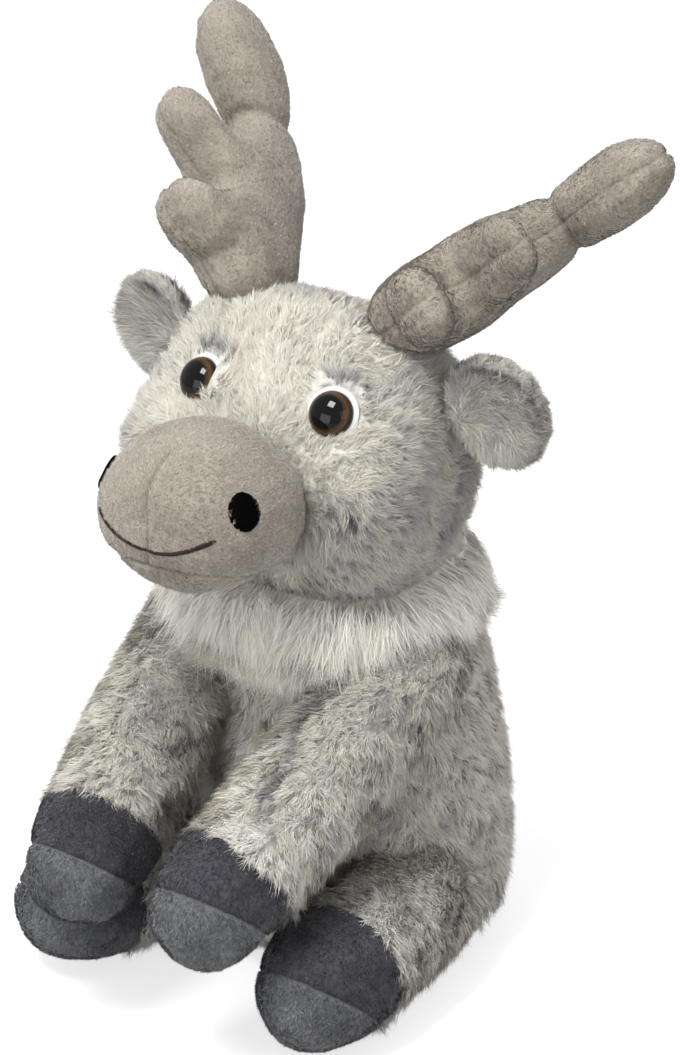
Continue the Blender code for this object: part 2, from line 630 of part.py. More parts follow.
def build_eye(side, sign, pivot, head_cover, head_stuffing):
    """Safety eye: white ring on the fur, lens on the ring, pupil and stem, lock washer inside."""
    fur = head_surface(side + "_eye_ring_seat", pivot)
    point, normal = surface_seat(fur, Vector((sign * EYE_SIDE, 0, EYE_UP)), Vector((0, -1, 0)))
    seat = plane_at(point - normal * EYE_SINK, normal)
    ring_bottom = SEAM_GAP
    ring_top = ring_bottom + EYE_RING_HEIGHT
    bore = EYE_STEM_RADIUS + SEAM_GAP
    ring_profile = (
        (bore, ring_top),
        (EYE_RING_RADIUS * EYE_RING_CREST_SHARE, ring_top),
        (EYE_RING_RADIUS, ring_top - EYE_RING_HEIGHT / 2),
        (EYE_RING_RADIUS, ring_bottom),
        (bore, ring_bottom),
    )
    ring = add_part(side + "_eye_ring", turned_mesh("eye_ring", ring_profile), "white_plastic", pivot, seat)
    cut(ring, fur)

    pupil_bottom = ring_top + SEAM_GAP
    pupil_top = pupil_bottom + EYE_PUPIL_HEIGHT
    stem_end = ring_bottom - EYE_STEM_LENGTH
    pupil_profile = (
        (0, pupil_top),
        (EYE_PUPIL_RADIUS, pupil_top),
        (EYE_PUPIL_RADIUS, pupil_bottom),
        (EYE_STEM_RADIUS, pupil_bottom),
        (EYE_STEM_RADIUS, stem_end),
        (0, stem_end),
    )
    add_part(side + "_eye_pupil", turned_mesh("eye_pupil", pupil_profile), "black_plastic", pivot, seat)

    lens_bore = EYE_PUPIL_RADIUS + SEAM_GAP
    lens_floor = pupil_top + SEAM_GAP
    lens_profile = [(0, lens_floor + EYE_LENS_WALL + EYE_LENS_HEIGHT - EYE_PUPIL_HEIGHT)]
    lens_rise = lens_profile[0][1] - pupil_bottom
    for step in range(1, LENS_PROFILE_STEPS + 1):
        angle = math.pi / 2 * step / LENS_PROFILE_STEPS
        lens_profile.append((EYE_LENS_RADIUS * math.sin(angle), pupil_bottom + lens_rise * math.cos(angle)))
    lens_profile += [(lens_bore, pupil_bottom), (lens_bore, lens_floor), (0, lens_floor)]
    add_part(side + "_eye_lens", turned_mesh("eye_lens", lens_profile), "brown_lens", pivot, seat)

    washer_top = -FUR_WALL - FILL_GAP - WASHER_SINK
    washer_bottom = washer_top - EYE_WASHER_HEIGHT
    washer_profile = (
        (bore, washer_top),
        (EYE_WASHER_RADIUS, washer_top),
        (EYE_WASHER_RADIUS, washer_bottom),
        (bore, washer_bottom),
    )
    add_part(side + "_eye_washer", turned_mesh("eye_washer", washer_profile), "washer_plastic", pivot, seat)
    hole = add_cutter(side + "_stem_hole", cylinder_mesh("stem_hole", bore, stem_end - SEAM_GAP,
                                                         ring_top, SMALL_TURN_STEPS), pivot, seat)
    cut(head_cover, hole)
    cut(head_stuffing, hole)
    pocket = cylinder_mesh("washer_pocket", EYE_WASHER_RADIUS + SEAM_GAP, washer_bottom - SEAM_GAP,
                           ring_top, SMALL_TURN_STEPS)
    cut(head_stuffing, add_cutter(side + "_washer_pocket", pocket, pivot, seat))


def head_surface(name, pivot):
    """The head's outer form, raised by the seam gap."""
    return subdivide(add_cutter(name, head_mesh(-SEAM_GAP), pivot), FORM_ROUNDING_STEPS)


def antler_place(side, sign, fur):
    """Where an antler leaves the head, and how it leans, in the head's own frame."""
    turn = (Matrix.Rotation(sign * ANTLER_SPLAY[side], 4, "Y")
            @ Matrix.Rotation(-ANTLER_RAKE[side], 4, "X")
            @ Matrix.Rotation(sign * ANTLER_TWIST[side], 4, "Z"))
    point, _ = surface_seat(fur, Vector((sign * ANTLER_SIDE, ANTLER_BACK, 0)), Vector((0, 0, 1)))
    return Matrix.Translation(point) @ turn


def build_antler(side, sign, pivot, head_cover, head_stuffing):
    """Antler cover and its stuffing, on a ball that turns in a socket of the head."""
    fur = head_surface(side + "_antler_seat", pivot)
    hinge = add_pivot(side + "_antler_hinge", antler_place(side, sign, fur), pivot)
    keep_ball = add_cutter(side + "_antler_ball", ball_mesh("antler_ball", ANTLER_ROOT_RADIUS), hinge)
    cover, _ = stuffed_shell(side + "_antler_cover", antler_mesh, SHORT_PILE_WALL, "taupe_pile", hinge,
                             kept_share=SLENDER_FORM_SHARE)
    fill_mesh = antler_mesh(SHORT_PILE_WALL + TINE_FILL_GAP)
    stuffing = add_part(side + "_antler_stuffing", fill_mesh, "stuffing", hinge)
    subdivide(stuffing, FILL_ROUNDING_STEPS)
    head_in_hinge = hinge.matrix_basis.inverted()
    for name, angle in (("_antler_root_trim", 0), ("_antler_swing_trim", -sign * ANTLER_SWING),
                        ("_antler_back_trim", sign * ANTLER_SWING)):
        place = Matrix.Rotation(angle, 4, "Y") @ head_in_hinge
        trim = subdivide(add_cutter(side + name, head_mesh(-JOINT_GAP), hinge, place), FORM_ROUNDING_STEPS)
        cut(trim, keep_ball)
        cut(cover, trim)
        cut(stuffing, trim)
    mouth = cylinder_mesh("antler_mouth", ANTLER_MOUTH_RADIUS, -ANTLER_LENGTH, 0)
    cut(cover, add_cutter(side + "_antler_mouth", mouth, hinge))
    socket = ball_mesh("antler_socket", ANTLER_ROOT_RADIUS + ANTLER_SOCKET_GAP)
    socket_cutter = add_cutter(side + "_antler_socket", socket, hinge)
    cut(head_cover, socket_cutter)
    cut(head_stuffing, socket_cutter)


def build_ear(side, sign, pivot):
    """Ear disc whose rounded edge turns just clear of the head."""
    outward = Vector((sign * math.cos(EAR_UP_ANGLE) * math.cos(EAR_BACK_ANGLE),
                      math.sin(EAR_BACK_ANGLE), math.sin(EAR_UP_ANGLE)))
    fur = head_surface(side + "_ear_seat", pivot)
    point, _ = surface_seat(fur, Vector(), outward)
    reach = point.length + EAR_HALF_THICKNESS - EAR_SINK
    facing = Vector((sign * math.sin(EAR_FACING), -math.cos(EAR_FACING), 0))
    facing = (facing - outward * facing.dot(outward)).normalized()
    place = frame_at(outward * reach, outward.cross(-facing), outward, 1, 1)
    hinge = add_pivot(side + "_ear_hinge", place, pivot)
    ear = add_part(side + "_ear", ear_mesh(), "grey_fur", hinge)
    subdivide(ear, FILL_ROUNDING_STEPS)


def build_leg(name, root, toe, radii, sole_normal, cut_by_root):
    """Leg cover, hoof panels and stuffing, on a ball at the hip or shoulder."""
    root_radius, hoof_radius = radii
    direction = toe - root
    place = frame_at(root, direction, Vector((1, 0, 0)), 1, 1)
    hinge = add_pivot(name + "_hinge", place)
    mesh_of_inset = limb_mesh(root_radius, hoof_radius, direction.length)

    keep_ball = add_cutter(name + "_ball", ball_mesh("root_ball", root_radius), None,
                           Matrix.Translation(root))
    torso_less_ball = subdivide(add_cutter(name + "_root_trim", torso_mesh(-JOINT_GAP)), FORM_ROUNDING_STEPS)
    cut(torso_less_ball, keep_ball)

    seam_height = direction.length - hoof_radius * HOOF_LENGTH_SHARE
    hoof_side = half_space(name + "_hoof_side", Matrix.Translation((0, 0, seam_height)), hinge)
    leg_side_place = Matrix.Translation((0, 0, seam_height + SEAM_GAP)) @ Matrix.Rotation(math.pi, 4, "X")
    leg_side = half_space(name + "_leg_side", leg_side_place, hinge)
    sole_point = toe + sole_normal * SOLE_SEAM_DROP
    sole_side = half_space(name + "_sole_side", plane_at(sole_point, sole_normal))
    upper_point = sole_point + sole_normal * SEAM_GAP
    upper_side = half_space(name + "_upper_side", plane_at(upper_point, -sole_normal))

    cover, _ = stuffed_shell(name + "_cover", mesh_of_inset, FUR_WALL, "grey_fur", hinge)
    cut(cover, hoof_side)
    cut(cover, torso_less_ball)
    hoof_name = name.replace("leg", "hoof")
    for panel_name, colour_name, other in (("_upper", "dark_hoof_pile", sole_side),
                                           ("_sole", "light_hoof_pile", upper_side)):
        panel, _ = stuffed_shell(hoof_name + panel_name, mesh_of_inset, FUR_WALL, colour_name, hinge)
        cut(panel, other)
        cut(panel, leg_side)
    stuffing = add_part(name + "_stuffing", mesh_of_inset(FUR_WALL + FILL_GAP), "stuffing", hinge)
    subdivide(stuffing, FILL_ROUNDING_STEPS)
    cut(stuffing, torso_less_ball)

    socket = add_cutter(name + "_socket", socket_mesh("root_socket", root_radius), None,
                        Matrix.Translation(root))
    for piece in cut_by_root:
        cut(piece, socket)
    return mesh_of_inset, place


def clear_lift(collar, name, mesh_of_inset, place):
    """Room in the collar for a front leg at rest, half lifted and fully lifted."""
    root = Matrix.Translation(place.translation)
    for step in range(FRONT_LEG_LIFT_STEPS + 1):
        lift = Matrix.Rotation(-FRONT_LEG_LIFT * step / FRONT_LEG_LIFT_STEPS, 4, "X")
        room = add_cutter("%s_lift_room_%d" % (name, step), mesh_of_inset(-JOINT_GAP), None,
                          root @ lift @ root.inverted() @ place)
        cut(collar, subdivide(room, FORM_ROUNDING_STEPS))


def build_legs(body_pieces, collar):
    hip_height = HIP_RADIUS + FLOOR_CLEARANCE
    hoof_height = HIND_HOOF_RADIUS + FLOOR_CLEARANCE
    sole_normal = Vector((0, -math.sin(SOLE_TILT), -math.cos(SOLE_TILT)))
    for side, sign in SIDE_SIGN.items():
        shoulder = Vector((sign * SHOULDER_SIDE, -SHOULDER_FORWARD, SHOULDER_HEIGHT))
        front_toe = Vector((sign * FRONT_HOOF_SIDE[side], -FRONT_HOOF_FORWARD, FRONT_HOOF_HEIGHT))
        mesh_of_inset, place = build_leg(side + "_front_leg", shoulder, front_toe,
                                         (SHOULDER_RADIUS, FRONT_HOOF_RADIUS), sole_normal,
                                         body_pieces[:2] + [collar])
        clear_lift(collar, side + "_front_leg", mesh_of_inset, place)
        hip = Vector((sign * HIP_SIDE, -HIP_FORWARD, hip_height))
        hind_toe = Vector((sign * HIND_HOOF_SIDE[side], -HIND_HOOF_FORWARD, hoof_height))
        build_leg(side + "_hind_leg", hip, hind_toe,
                  (HIP_RADIUS, HIND_HOOF_RADIUS), sole_normal, body_pieces)


def build_deer():
    pivot = add_pivot("head_pivot", Matrix.Translation((0, -HEAD_FORWARD, HEAD_HEIGHT)))
    head_room = subdivide(add_cutter("head_room", head_mesh(-NECK_GAP), pivot), FORM_ROUNDING_STEPS)
    torso_room = subdivide(add_cutter("torso_room", torso_mesh(-SEAM_GAP)), FORM_ROUNDING_STEPS)
    head_clear = head_surface("head_clear", pivot)

    body_pieces = build_body(head_room)
    collar = build_collar(pivot, torso_room)
    head_cover, head_stuffing = build_head(pivot)
    build_muzzle(pivot, head_clear)
    build_embroidery(pivot)
    for side, sign in SIDE_SIGN.items():
        build_eye(side, sign, pivot, head_cover, head_stuffing)
        build_antler(side, sign, pivot, head_cover, head_stuffing)
        build_ear(side, sign, pivot)
    build_legs(body_pieces, collar)


clear_scene()
parts = new_collection("plush_deer")
cutters = new_collection("plush_deer_cutters")
build_deer()
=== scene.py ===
"""Plush deer, sitting: fur, short pile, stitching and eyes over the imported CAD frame."""
import json
import math

import bpy
import numpy as np
from mathutils import Matrix, Vector
from mathutils.bvhtree import BVHTree


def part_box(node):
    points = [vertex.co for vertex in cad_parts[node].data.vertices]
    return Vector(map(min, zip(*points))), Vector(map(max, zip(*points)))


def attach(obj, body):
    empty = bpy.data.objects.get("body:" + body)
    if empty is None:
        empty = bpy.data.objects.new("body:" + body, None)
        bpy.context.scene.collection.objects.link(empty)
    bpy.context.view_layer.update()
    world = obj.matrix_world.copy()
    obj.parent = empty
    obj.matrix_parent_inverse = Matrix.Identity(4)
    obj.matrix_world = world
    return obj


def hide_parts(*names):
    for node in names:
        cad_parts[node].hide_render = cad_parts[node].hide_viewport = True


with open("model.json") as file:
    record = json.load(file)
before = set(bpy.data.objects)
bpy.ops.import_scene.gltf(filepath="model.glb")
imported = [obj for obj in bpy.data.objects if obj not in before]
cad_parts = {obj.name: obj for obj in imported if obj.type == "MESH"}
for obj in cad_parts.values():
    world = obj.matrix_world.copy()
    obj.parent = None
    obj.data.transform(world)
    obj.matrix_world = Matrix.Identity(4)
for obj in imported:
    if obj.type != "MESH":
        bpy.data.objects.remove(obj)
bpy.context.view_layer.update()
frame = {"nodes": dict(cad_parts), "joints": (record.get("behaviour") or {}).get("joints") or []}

# Camera: a long lens, a little above the toy and to its left, as in the photograph.
camera_azimuth = math.radians(36)
camera_elevation = math.radians(23)
camera_distance = 1.2
camera_target = Vector((0, 0, 0.142))
camera_data = bpy.data.cameras.new("camera")
camera_data.lens = 128
camera_data.sensor_width = 36
camera_data.clip_start = 0.05
camera = bpy.data.objects.new("camera", camera_data)
bpy.context.scene.collection.objects.link(camera)
towards_camera = Vector((math.sin(camera_azimuth) * math.cos(camera_elevation),
                         -math.cos(camera_azimuth) * math.cos(camera_elevation),
                         math.sin(camera_elevation)))
camera_turn = towards_camera.to_track_quat("Z", "Y").to_matrix().to_4x4()
camera.matrix_world = Matrix.Translation(camera_target + towards_camera * camera_distance) @ camera_turn
bpy.context.scene.camera = camera

# Studio: soft daylight from all round, a large soft lamp high above the front, a weak one from the
# right and a low one in front that reaches under the chin, over a white floor that keeps a faint
# shadow.
bpy.context.scene.view_settings.view_transform = "Standard"
world = bpy.data.worlds.new("studio")
bpy.context.scene.world = world
world.use_nodes = True
world_nodes = world.node_tree.nodes
world_links = world.node_tree.links
room_light = world_nodes["Background"]
room_light.inputs["Color"].default_value = (0.98, 0.985, 1.0, 1)
room_light.inputs["Strength"].default_value = 0.56
white_backdrop = world_nodes.new("ShaderNodeBackground")
white_backdrop.inputs["Color"].default_value = (1, 1, 1, 1)
white_backdrop.inputs["Strength"].default_value = 1.0
world_path = world_nodes.new("ShaderNodeLightPath")
world_mix = world_nodes.new("ShaderNodeMixShader")
world_links.new(world_path.outputs["Is Camera Ray"], world_mix.inputs["Fac"])
world_links.new(room_light.outputs[0], world_mix.inputs[1])
world_links.new(white_backdrop.outputs[0], world_mix.inputs[2])
world_links.new(world_mix.outputs[0], world_nodes["World Output"].inputs["Surface"])


def add_lamp(name, place, size, watts):
    lamp_data = bpy.data.lights.new(name, "AREA")
    lamp_data.size = size
    lamp_data.energy = watts
    lamp = bpy.data.objects.new(name, lamp_data)
    bpy.context.scene.collection.objects.link(lamp)
    aim = (place - camera_target).to_track_quat("Z", "Y").to_matrix().to_4x4()
    lamp.matrix_world = Matrix.Translation(place) @ aim


add_lamp("window_lamp", Vector((-0.05, -0.75, 1.55)), 0.6, 22.0)
add_lamp("side_lamp", Vector((1.5, -0.5, 0.8)), 1.0, 3.0)
add_lamp("front_lamp", Vector((-0.2, -1.5, 0.28)), 1.0, 6.0)


def new_material(name):
    """A material that uses nodes, with its nodes, its links and its main shader."""
    material = bpy.data.materials.new(name)
    material.use_nodes = True
    nodes, links = material.node_tree.nodes, material.node_tree.links
    return material, nodes, links, nodes["Principled BSDF"]


bpy.ops.object.select_all(action="DESELECT")
bpy.ops.mesh.primitive_plane_add(size=9)
floor = bpy.context.active_object
floor.name = "floor"
floor_material, floor_nodes, floor_links, floor_shader = new_material("white_floor")
floor_shader.inputs["Base Color"].default_value = (0.55, 0.55, 0.55, 1)
floor_shader.inputs["Roughness"].default_value = 0.9
floor_glow = floor_nodes.new("ShaderNodeEmission")
floor_glow.inputs["Color"].default_value = (1, 1, 1, 1)
floor_path = floor_nodes.new("ShaderNodeLightPath")
floor_glow_level = floor_nodes.new("ShaderNodeMath")
floor_glow_level.operation = "MULTIPLY"
floor_glow_level.inputs[1].default_value = 0.70
floor_sum = floor_nodes.new("ShaderNodeAddShader")
floor_links.new(floor_path.outputs["Is Camera Ray"], floor_glow_level.inputs[0])
floor_links.new(floor_glow_level.outputs[0], floor_glow.inputs["Strength"])
floor_links.new(floor_shader.outputs[0], floor_sum.inputs[0])
floor_links.new(floor_glow.outputs[0], floor_sum.inputs[1])
floor_links.new(floor_sum.outputs[0], floor_nodes["Material Output"].inputs["Surface"])
floor.data.materials.append(floor_material)


# Body: a pear-shaped bag of long-pile fur fabric, sewn shut over loose filling and a bag of
# pellets. The backing is one closed skin, and the pile is laid on it in tufts, combed downwards.
def select_only(obj):
    bpy.ops.object.select_all(action="DESELECT")
    obj.select_set(True)
    bpy.context.view_layer.objects.active = obj


def join_all(name, objects):
    select_only(objects[0])
    for other in objects[1:]:
        other.select_set(True)
    if len(objects) > 1:
        bpy.ops.object.join()
    objects[0].name = name
    objects[0].data.name = name
    return objects[0]


def on_whole_mesh(operator, **settings):
    """Run one mesh operator on all of the active object."""
    bpy.ops.object.mode_set(mode="EDIT")
    bpy.ops.mesh.select_all(action="SELECT")
    operator(**settings)
    bpy.ops.object.mode_set(mode="OBJECT")


merge_distance = 0.00001


def copy_of_nodes(name, nodes):
    """One object that holds copies of CAD nodes, their loose triangles merged."""
    copies = []
    for node in nodes:
        copy = bpy.data.objects.new(name, frame["nodes"][node].data.copy())
        bpy.context.scene.collection.objects.link(copy)
        copy.data.materials.clear()
        copies.append(copy)
    joined = join_all(name, copies)
    on_whole_mesh(bpy.ops.mesh.remove_doubles, threshold=merge_distance)
    return joined


def apply_modifier(obj, kind, **settings):
    select_only(obj)
    modifier = obj.modifiers.new(kind.lower(), kind)
    for name, value in settings.items():
        setattr(modifier, name, value)
    bpy.ops.object.modifier_apply(modifier=modifier.name)


def fine_mesh(obj, grain):
    select_only(obj)
    obj.data.remesh_voxel_size = grain
    bpy.ops.object.voxel_remesh()


def stuffed_skin(name, nodes, grain, drawn_in, smoothing):
    """Rounded closed skin around the outside of CAD nodes, drawn in to leave room for the pile."""
    skin = copy_of_nodes(name, nodes)
    on_whole_mesh(bpy.ops.mesh.convex_hull)
    fine_mesh(skin, grain)
    apply_modifier(skin, "SMOOTH", factor=0.5, iterations=smoothing)
    apply_modifier(skin, "DISPLACE", strength=-drawn_in, mid_level=0.0)
    bpy.ops.object.shade_smooth()
    return skin


def skin_tree(skin):
    mesh = skin.data
    corners = [vertex.co.copy() for vertex in mesh.vertices]
    return BVHTree.FromPolygons(corners, [tuple(face.vertices) for face in mesh.polygons])


def depth_inside(tree, points):
    """How far each point is inside a closed skin; negative outside."""
    depths = np.empty(len(points))
    for index, point in enumerate(points):
        nearest, normal, _, distance = tree.find_nearest(Vector(point))
        inside = (Vector(point) - nearest).dot(normal) < 0
        depths[index] = distance if inside else -distance
    return depths


def mesh_arrays(skin):
    mesh = skin.data
    mesh.calc_loop_triangles()
    points = np.empty(len(mesh.vertices) * 3)
    mesh.vertices.foreach_get("co", points)
    normals = np.empty(len(mesh.vertices) * 3)
    mesh.vertices.foreach_get("normal", normals)
    corners = np.empty(len(mesh.loop_triangles) * 3, np.int32)
    mesh.loop_triangles.foreach_get("vertices", corners)
    return points.reshape(-1, 3), normals.reshape(-1, 3), corners.reshape(-1, 3)


def unit(vectors):
    return vectors / np.maximum(np.linalg.norm(vectors, axis=1, keepdims=True), 1e-12)


def scattered(skin, count, rng):
    """Points and normals spread evenly over a skin."""
    points, normals, corners = mesh_arrays(skin)
    a, b, c = points[corners[:, 0]], points[corners[:, 1]], points[corners[:, 2]]
    areas = np.linalg.norm(np.cross(b - a, c - a), axis=1)
    chosen = rng.choice(len(corners), count, p=areas / areas.sum())
    first, second = rng.random((2, count, 1))
    flip = (first + second) > 1
    first, second = np.where(flip, 1 - first, first), np.where(flip, 1 - second, second)
    third = 1 - first - second
    place = a[chosen] * third + b[chosen] * first + c[chosen] * second
    facing = (normals[corners[chosen, 0]] * third + normals[corners[chosen, 1]] * first
              + normals[corners[chosen, 2]] * second)
    return place, unit(facing)


def ripple(points, size, seed):
    """Smooth uneven pattern from -1 to 1, its patches about the given size across."""
    waves = np.random.default_rng(seed)
    total = np.zeros(len(points))
    for _ in range(5):
        direction = waves.normal(size=3)
        direction *= (math.pi / size) / np.linalg.norm(direction) * waves.uniform(0.6, 1.5)
        total += np.sin(points @ direction + waves.uniform(0, 2 * math.pi))
    return np.clip(total / 2.4, -1, 1)


def falloff(distance, width):
    """One at no distance, fading smoothly to none past the width."""
    return np.exp(-(distance / width) ** 2)


def mottled(points, middle, broad, fine):
    """A tone with broad and fine patches, each given as strength, size and seed."""
    return middle + broad[0] * ripple(points, *broad[1:]) + fine[0] * ripple(points, *fine[1:])


def mesh_of_blades(name, rows, heights, pattern, tone, facing, floor_gap, material):
    """One mesh of like blades; the map OFBake holds each blade's shade and the height along it."""
    total, per = len(tone), len(rows)
    verts = np.stack(rows, axis=1).reshape(-1, 3)
    verts[:, 2] = np.maximum(verts[:, 2], floor_gap)
    faces = (np.arange(total)[:, None, None] * per + pattern[None]).reshape(-1, 3)
    shade_and_height = np.stack((np.repeat(tone, per), np.tile(np.array(heights), total)), axis=1)
    mesh = bpy.data.meshes.new(name)
    mesh.vertices.add(len(verts))
    mesh.vertices.foreach_set("co", verts.astype(np.float32).ravel())
    mesh.loops.add(len(faces) * 3)
    mesh.loops.foreach_set("vertex_index", faces.astype(np.int32).ravel())
    mesh.polygons.add(len(faces))
    mesh.polygons.foreach_set("loop_start", np.arange(0, len(faces) * 3, 3, dtype=np.int32))
    mesh.polygons.foreach_set("use_smooth", np.ones(len(faces), bool))
    layer = mesh.uv_layers.new(name="OFBake")
    layer.uv.foreach_set("vector", shade_and_height[faces.ravel()].astype(np.float32).ravel())
    mesh.update(calc_edges=True)
    mesh.validate()
    mesh.normals_split_custom_set_from_vertices(np.repeat(unit(facing), per, axis=0))
    mesh.materials.append(material)
    pile = bpy.data.objects.new(name, mesh)
    bpy.context.scene.collection.objects.link(pile)
    return pile


def lay_pile(name, skin, tufts, hairs, spread, length, width, lift, flow, shade, keep, material,
             seed, swirl=0.6, swirl_size=0.012, curl=0.45, droop=0.55, gather=0.45, jointed=True,
             floor_gap=0.0004, uneven=0.06, softness=0.25, planted=0.0006, upward=0.0):
    """Pile as thin blades in tufts. Each tuft has its own direction, length, lift, bend and shade,
    and its blades stray a little from them. A blade is rooted just under the skin."""
    rng = np.random.default_rng(seed)
    centre, normal = scattered(skin, tufts, rng)
    kept = keep(centre, normal)
    centre, normal = centre[kept], normal[kept]
    count = len(centre)
    along = flow(centre, normal)
    along = unit(along - normal * np.sum(along * normal, axis=1, keepdims=True))
    across = np.cross(normal, along)

    def turned(first, second, angle):
        return (first * np.cos(angle) + second * np.sin(angle),
                second * np.cos(angle) - first * np.sin(angle))

    turn = (swirl * ripple(centre, swirl_size, seed + 1) + rng.normal(0, swirl * 0.45, count))[:, None]
    along, across = turned(along, across, turn)
    tuft_shade = shade(centre, normal) + rng.normal(0, uneven, count)
    tuft_length = (length(centre, normal) * (1 + rng.normal(0, 0.13, count)))[:, None]
    tuft_lift = (lift(centre, normal) if callable(lift) else lift) + rng.normal(0, 0.10, count)
    tuft_lift = tuft_lift[:, None]
    tuft_curl = rng.normal(0, curl, count)[:, None]

    def spread_out(values):
        return np.repeat(values, hairs, axis=0)

    total = count * hairs
    n, t, s = spread_out(normal), spread_out(along), spread_out(across)
    radius = spread * np.sqrt(rng.random(total))[:, None]
    angle = rng.uniform(0, 2 * math.pi, total)[:, None]
    offset = radius * (t * np.cos(angle) + s * np.sin(angle))
    root = spread_out(centre) + offset - n * planted
    blade_length = spread_out(tuft_length) * (1 + rng.normal(0, 0.14, total))[:, None]
    rise = spread_out(tuft_lift) + rng.normal(0, 0.12, total)[:, None]
    yaw = rng.normal(0, 0.16, total)[:, None]
    t, s = turned(t, s, yaw)
    steep = t * np.cos(rise) + n * np.sin(rise)
    bend = spread_out(tuft_curl) + rng.normal(0, curl * 0.3, total)[:, None]
    onward = t * np.cos(bend) + s * np.sin(bend)
    flat = onward * np.cos(rise * droop) + n * np.sin(rise * droop)
    roll = rng.normal(0, 0.5, total)[:, None]
    side = np.cross(steep, n)
    side = unit(side) * np.cos(roll) + np.cross(unit(side), steep) * np.sin(roll)
    half = (width / 2 * (1 + rng.normal(0, 0.2, total)))[:, None]
    middle = root + steep * blade_length * 0.5 - offset * gather * 0.5
    tip = middle + flat * blade_length * 0.5 - offset * gather * 0.5
    tone = np.clip(spread_out(tuft_shade) + rng.normal(0, uneven, total), 0.01, 0.99)
    base = (root - side * half, root + side * half)
    if jointed:
        rows = (*base, middle - side * half * 0.8, middle + side * half * 0.8, tip)
        heights = (0.02, 0.02, 0.5, 0.5, 0.98)
        pattern = np.array(((0, 1, 3), (0, 3, 2), (2, 3, 4)))
    else:
        rows = (*base, tip)
        heights = (0.02, 0.02, 0.98)
        pattern = np.array(((0, 1, 2),))
    facing = spread_out(normal) + rng.normal(0, softness, (total, 3)) + np.array((0, 0, upward))
    return mesh_of_blades(name, rows, heights, pattern, tone, facing, floor_gap, material)


def colour_ramp(nodes, stops):
    ramp = nodes.new("ShaderNodeValToRGB")
    ramp.color_ramp.interpolation = "EASE"
    elements = ramp.color_ramp.elements
    while len(elements) < len(stops):
        elements.new(0.5)
    for element, (position, colour) in zip(elements, stops):
        element.position = position
        element.color = (*colour, 1)
    return ramp


def pile_material(name, tips, roots, root_height, sheen=0.15):
    """Blade colour: the shade chooses the tip and root colours, and the height fades between them."""
    material, nodes, links, shader = new_material(name)
    shader.inputs["Roughness"].default_value = 0.75
    shader.inputs["Specular IOR Level"].default_value = 0.25
    shader.inputs["Sheen Weight"].default_value = sheen
    shader.inputs["Sheen Roughness"].default_value = 0.5
    blade_map = nodes.new("ShaderNodeUVMap")
    blade_map.uv_map = "OFBake"
    parts = nodes.new("ShaderNodeSeparateXYZ")
    tip_ramp = colour_ramp(nodes, tips)
    root_ramp = colour_ramp(nodes, roots)
    height_ramp = colour_ramp(nodes, ((root_height[0], (0, 0, 0)), (root_height[1], (1, 1, 1))))
    mix = nodes.new("ShaderNodeMix")
    mix.data_type = "RGBA"
    links.new(blade_map.outputs["UV"], parts.inputs[0])
    links.new(parts.outputs["X"], tip_ramp.inputs[0])
    links.new(parts.outputs["X"], root_ramp.inputs[0])
    links.new(parts.outputs["Y"], height_ramp.inputs[0])
    links.new(height_ramp.outputs["Color"], mix.inputs["Factor"])
    links.new(root_ramp.outputs["Color"], mix.inputs["A"])
    links.new(tip_ramp.outputs["Color"], mix.inputs["B"])
    links.new(mix.outputs["Result"], shader.inputs["Base Color"])
    return material


def backing_material(name, dark, light):
    """Dense knitted backing with the roots of the pile in it, uneven in tone."""
    material, nodes, links, shader = new_material(name)
    shader.inputs["Roughness"].default_value = 0.95
    shader.inputs["Specular IOR Level"].default_value = 0.15
    place = nodes.new("ShaderNodeTexCoord")
    mottle = nodes.new("ShaderNodeTexNoise")
    mottle.inputs["Scale"].default_value = 360
    mottle.inputs["Detail"].default_value = 6
    ramp = colour_ramp(nodes, ((0.3, dark), (0.7, light)))
    bump = nodes.new("ShaderNodeBump")
    bump.inputs["Strength"].default_value = 0.5
    bump.inputs["Distance"].default_value = 0.0006
    links.new(place.outputs["Object"], mottle.inputs["Vector"])
    links.new(mottle.outputs["Fac"], ramp.inputs[0])
    links.new(mottle.outputs["Fac"], bump.inputs["Height"])
    links.new(ramp.outputs["Color"], shader.inputs["Base Color"])
    links.new(bump.outputs[0], shader.inputs["Normal"])
    return material


grey_tips = ((0.0, (0.10, 0.10, 0.108)), (0.22, (0.30, 0.295, 0.29)), (0.45, (0.56, 0.545, 0.515)),
             (0.62, (0.74, 0.70, 0.60)), (0.78, (0.86, 0.84, 0.78)), (1.0, (0.95, 0.94, 0.90)))
grey_roots = ((0.0, (0.07, 0.07, 0.075)), (0.45, (0.42, 0.41, 0.375)), (1.0, (0.88, 0.86, 0.80)))
grey_fur = pile_material("grey_fur_pile", grey_tips, grey_roots, (0.0, 0.4))
grey_backing = backing_material("grey_fur_backing", (0.30, 0.30, 0.285), (0.52, 0.51, 0.47))


def undercoat_and_shade_flecks(points, seed):
    """Small clusters where the pile falls apart: the darker undercoat and painted shade in the gaps, laid
    into the tone of whole tufts.
    """
    spots = np.clip((ripple(points, 0.0019, seed) - 0.10) / 0.5, 0, 1)
    clusters = np.clip(0.25 + 0.9 * ripple(points, 0.0085, seed + 2), 0.05, 1)
    fields = np.clip(0.30 + 0.9 * ripple(points, 0.030, seed + 1), 0.15, 1)
    return -0.62 * spots * clusters * fields


body_grain, body_pile_room = 0.0022, 0.0022
leg_grain, leg_pile_room = 0.0016, 0.0020
body_skin = stuffed_skin("body_skin", ("body_cover",), body_grain, body_pile_room, 14)
body_skin.data.materials.append(grey_backing)
limb_names = [side + end for side in ("left_", "right_") for end in ("front_leg", "hind_leg")]
leg_skins = {}
for limb in limb_names:
    leg_skins[limb] = stuffed_skin(limb + "_skin", (limb + "_cover",), leg_grain, leg_pile_room, 8)
    leg_skins[limb].data.materials.append(grey_backing)
leg_trees = [skin_tree(skin) for skin in leg_skins.values()]
body_tree = skin_tree(body_skin)


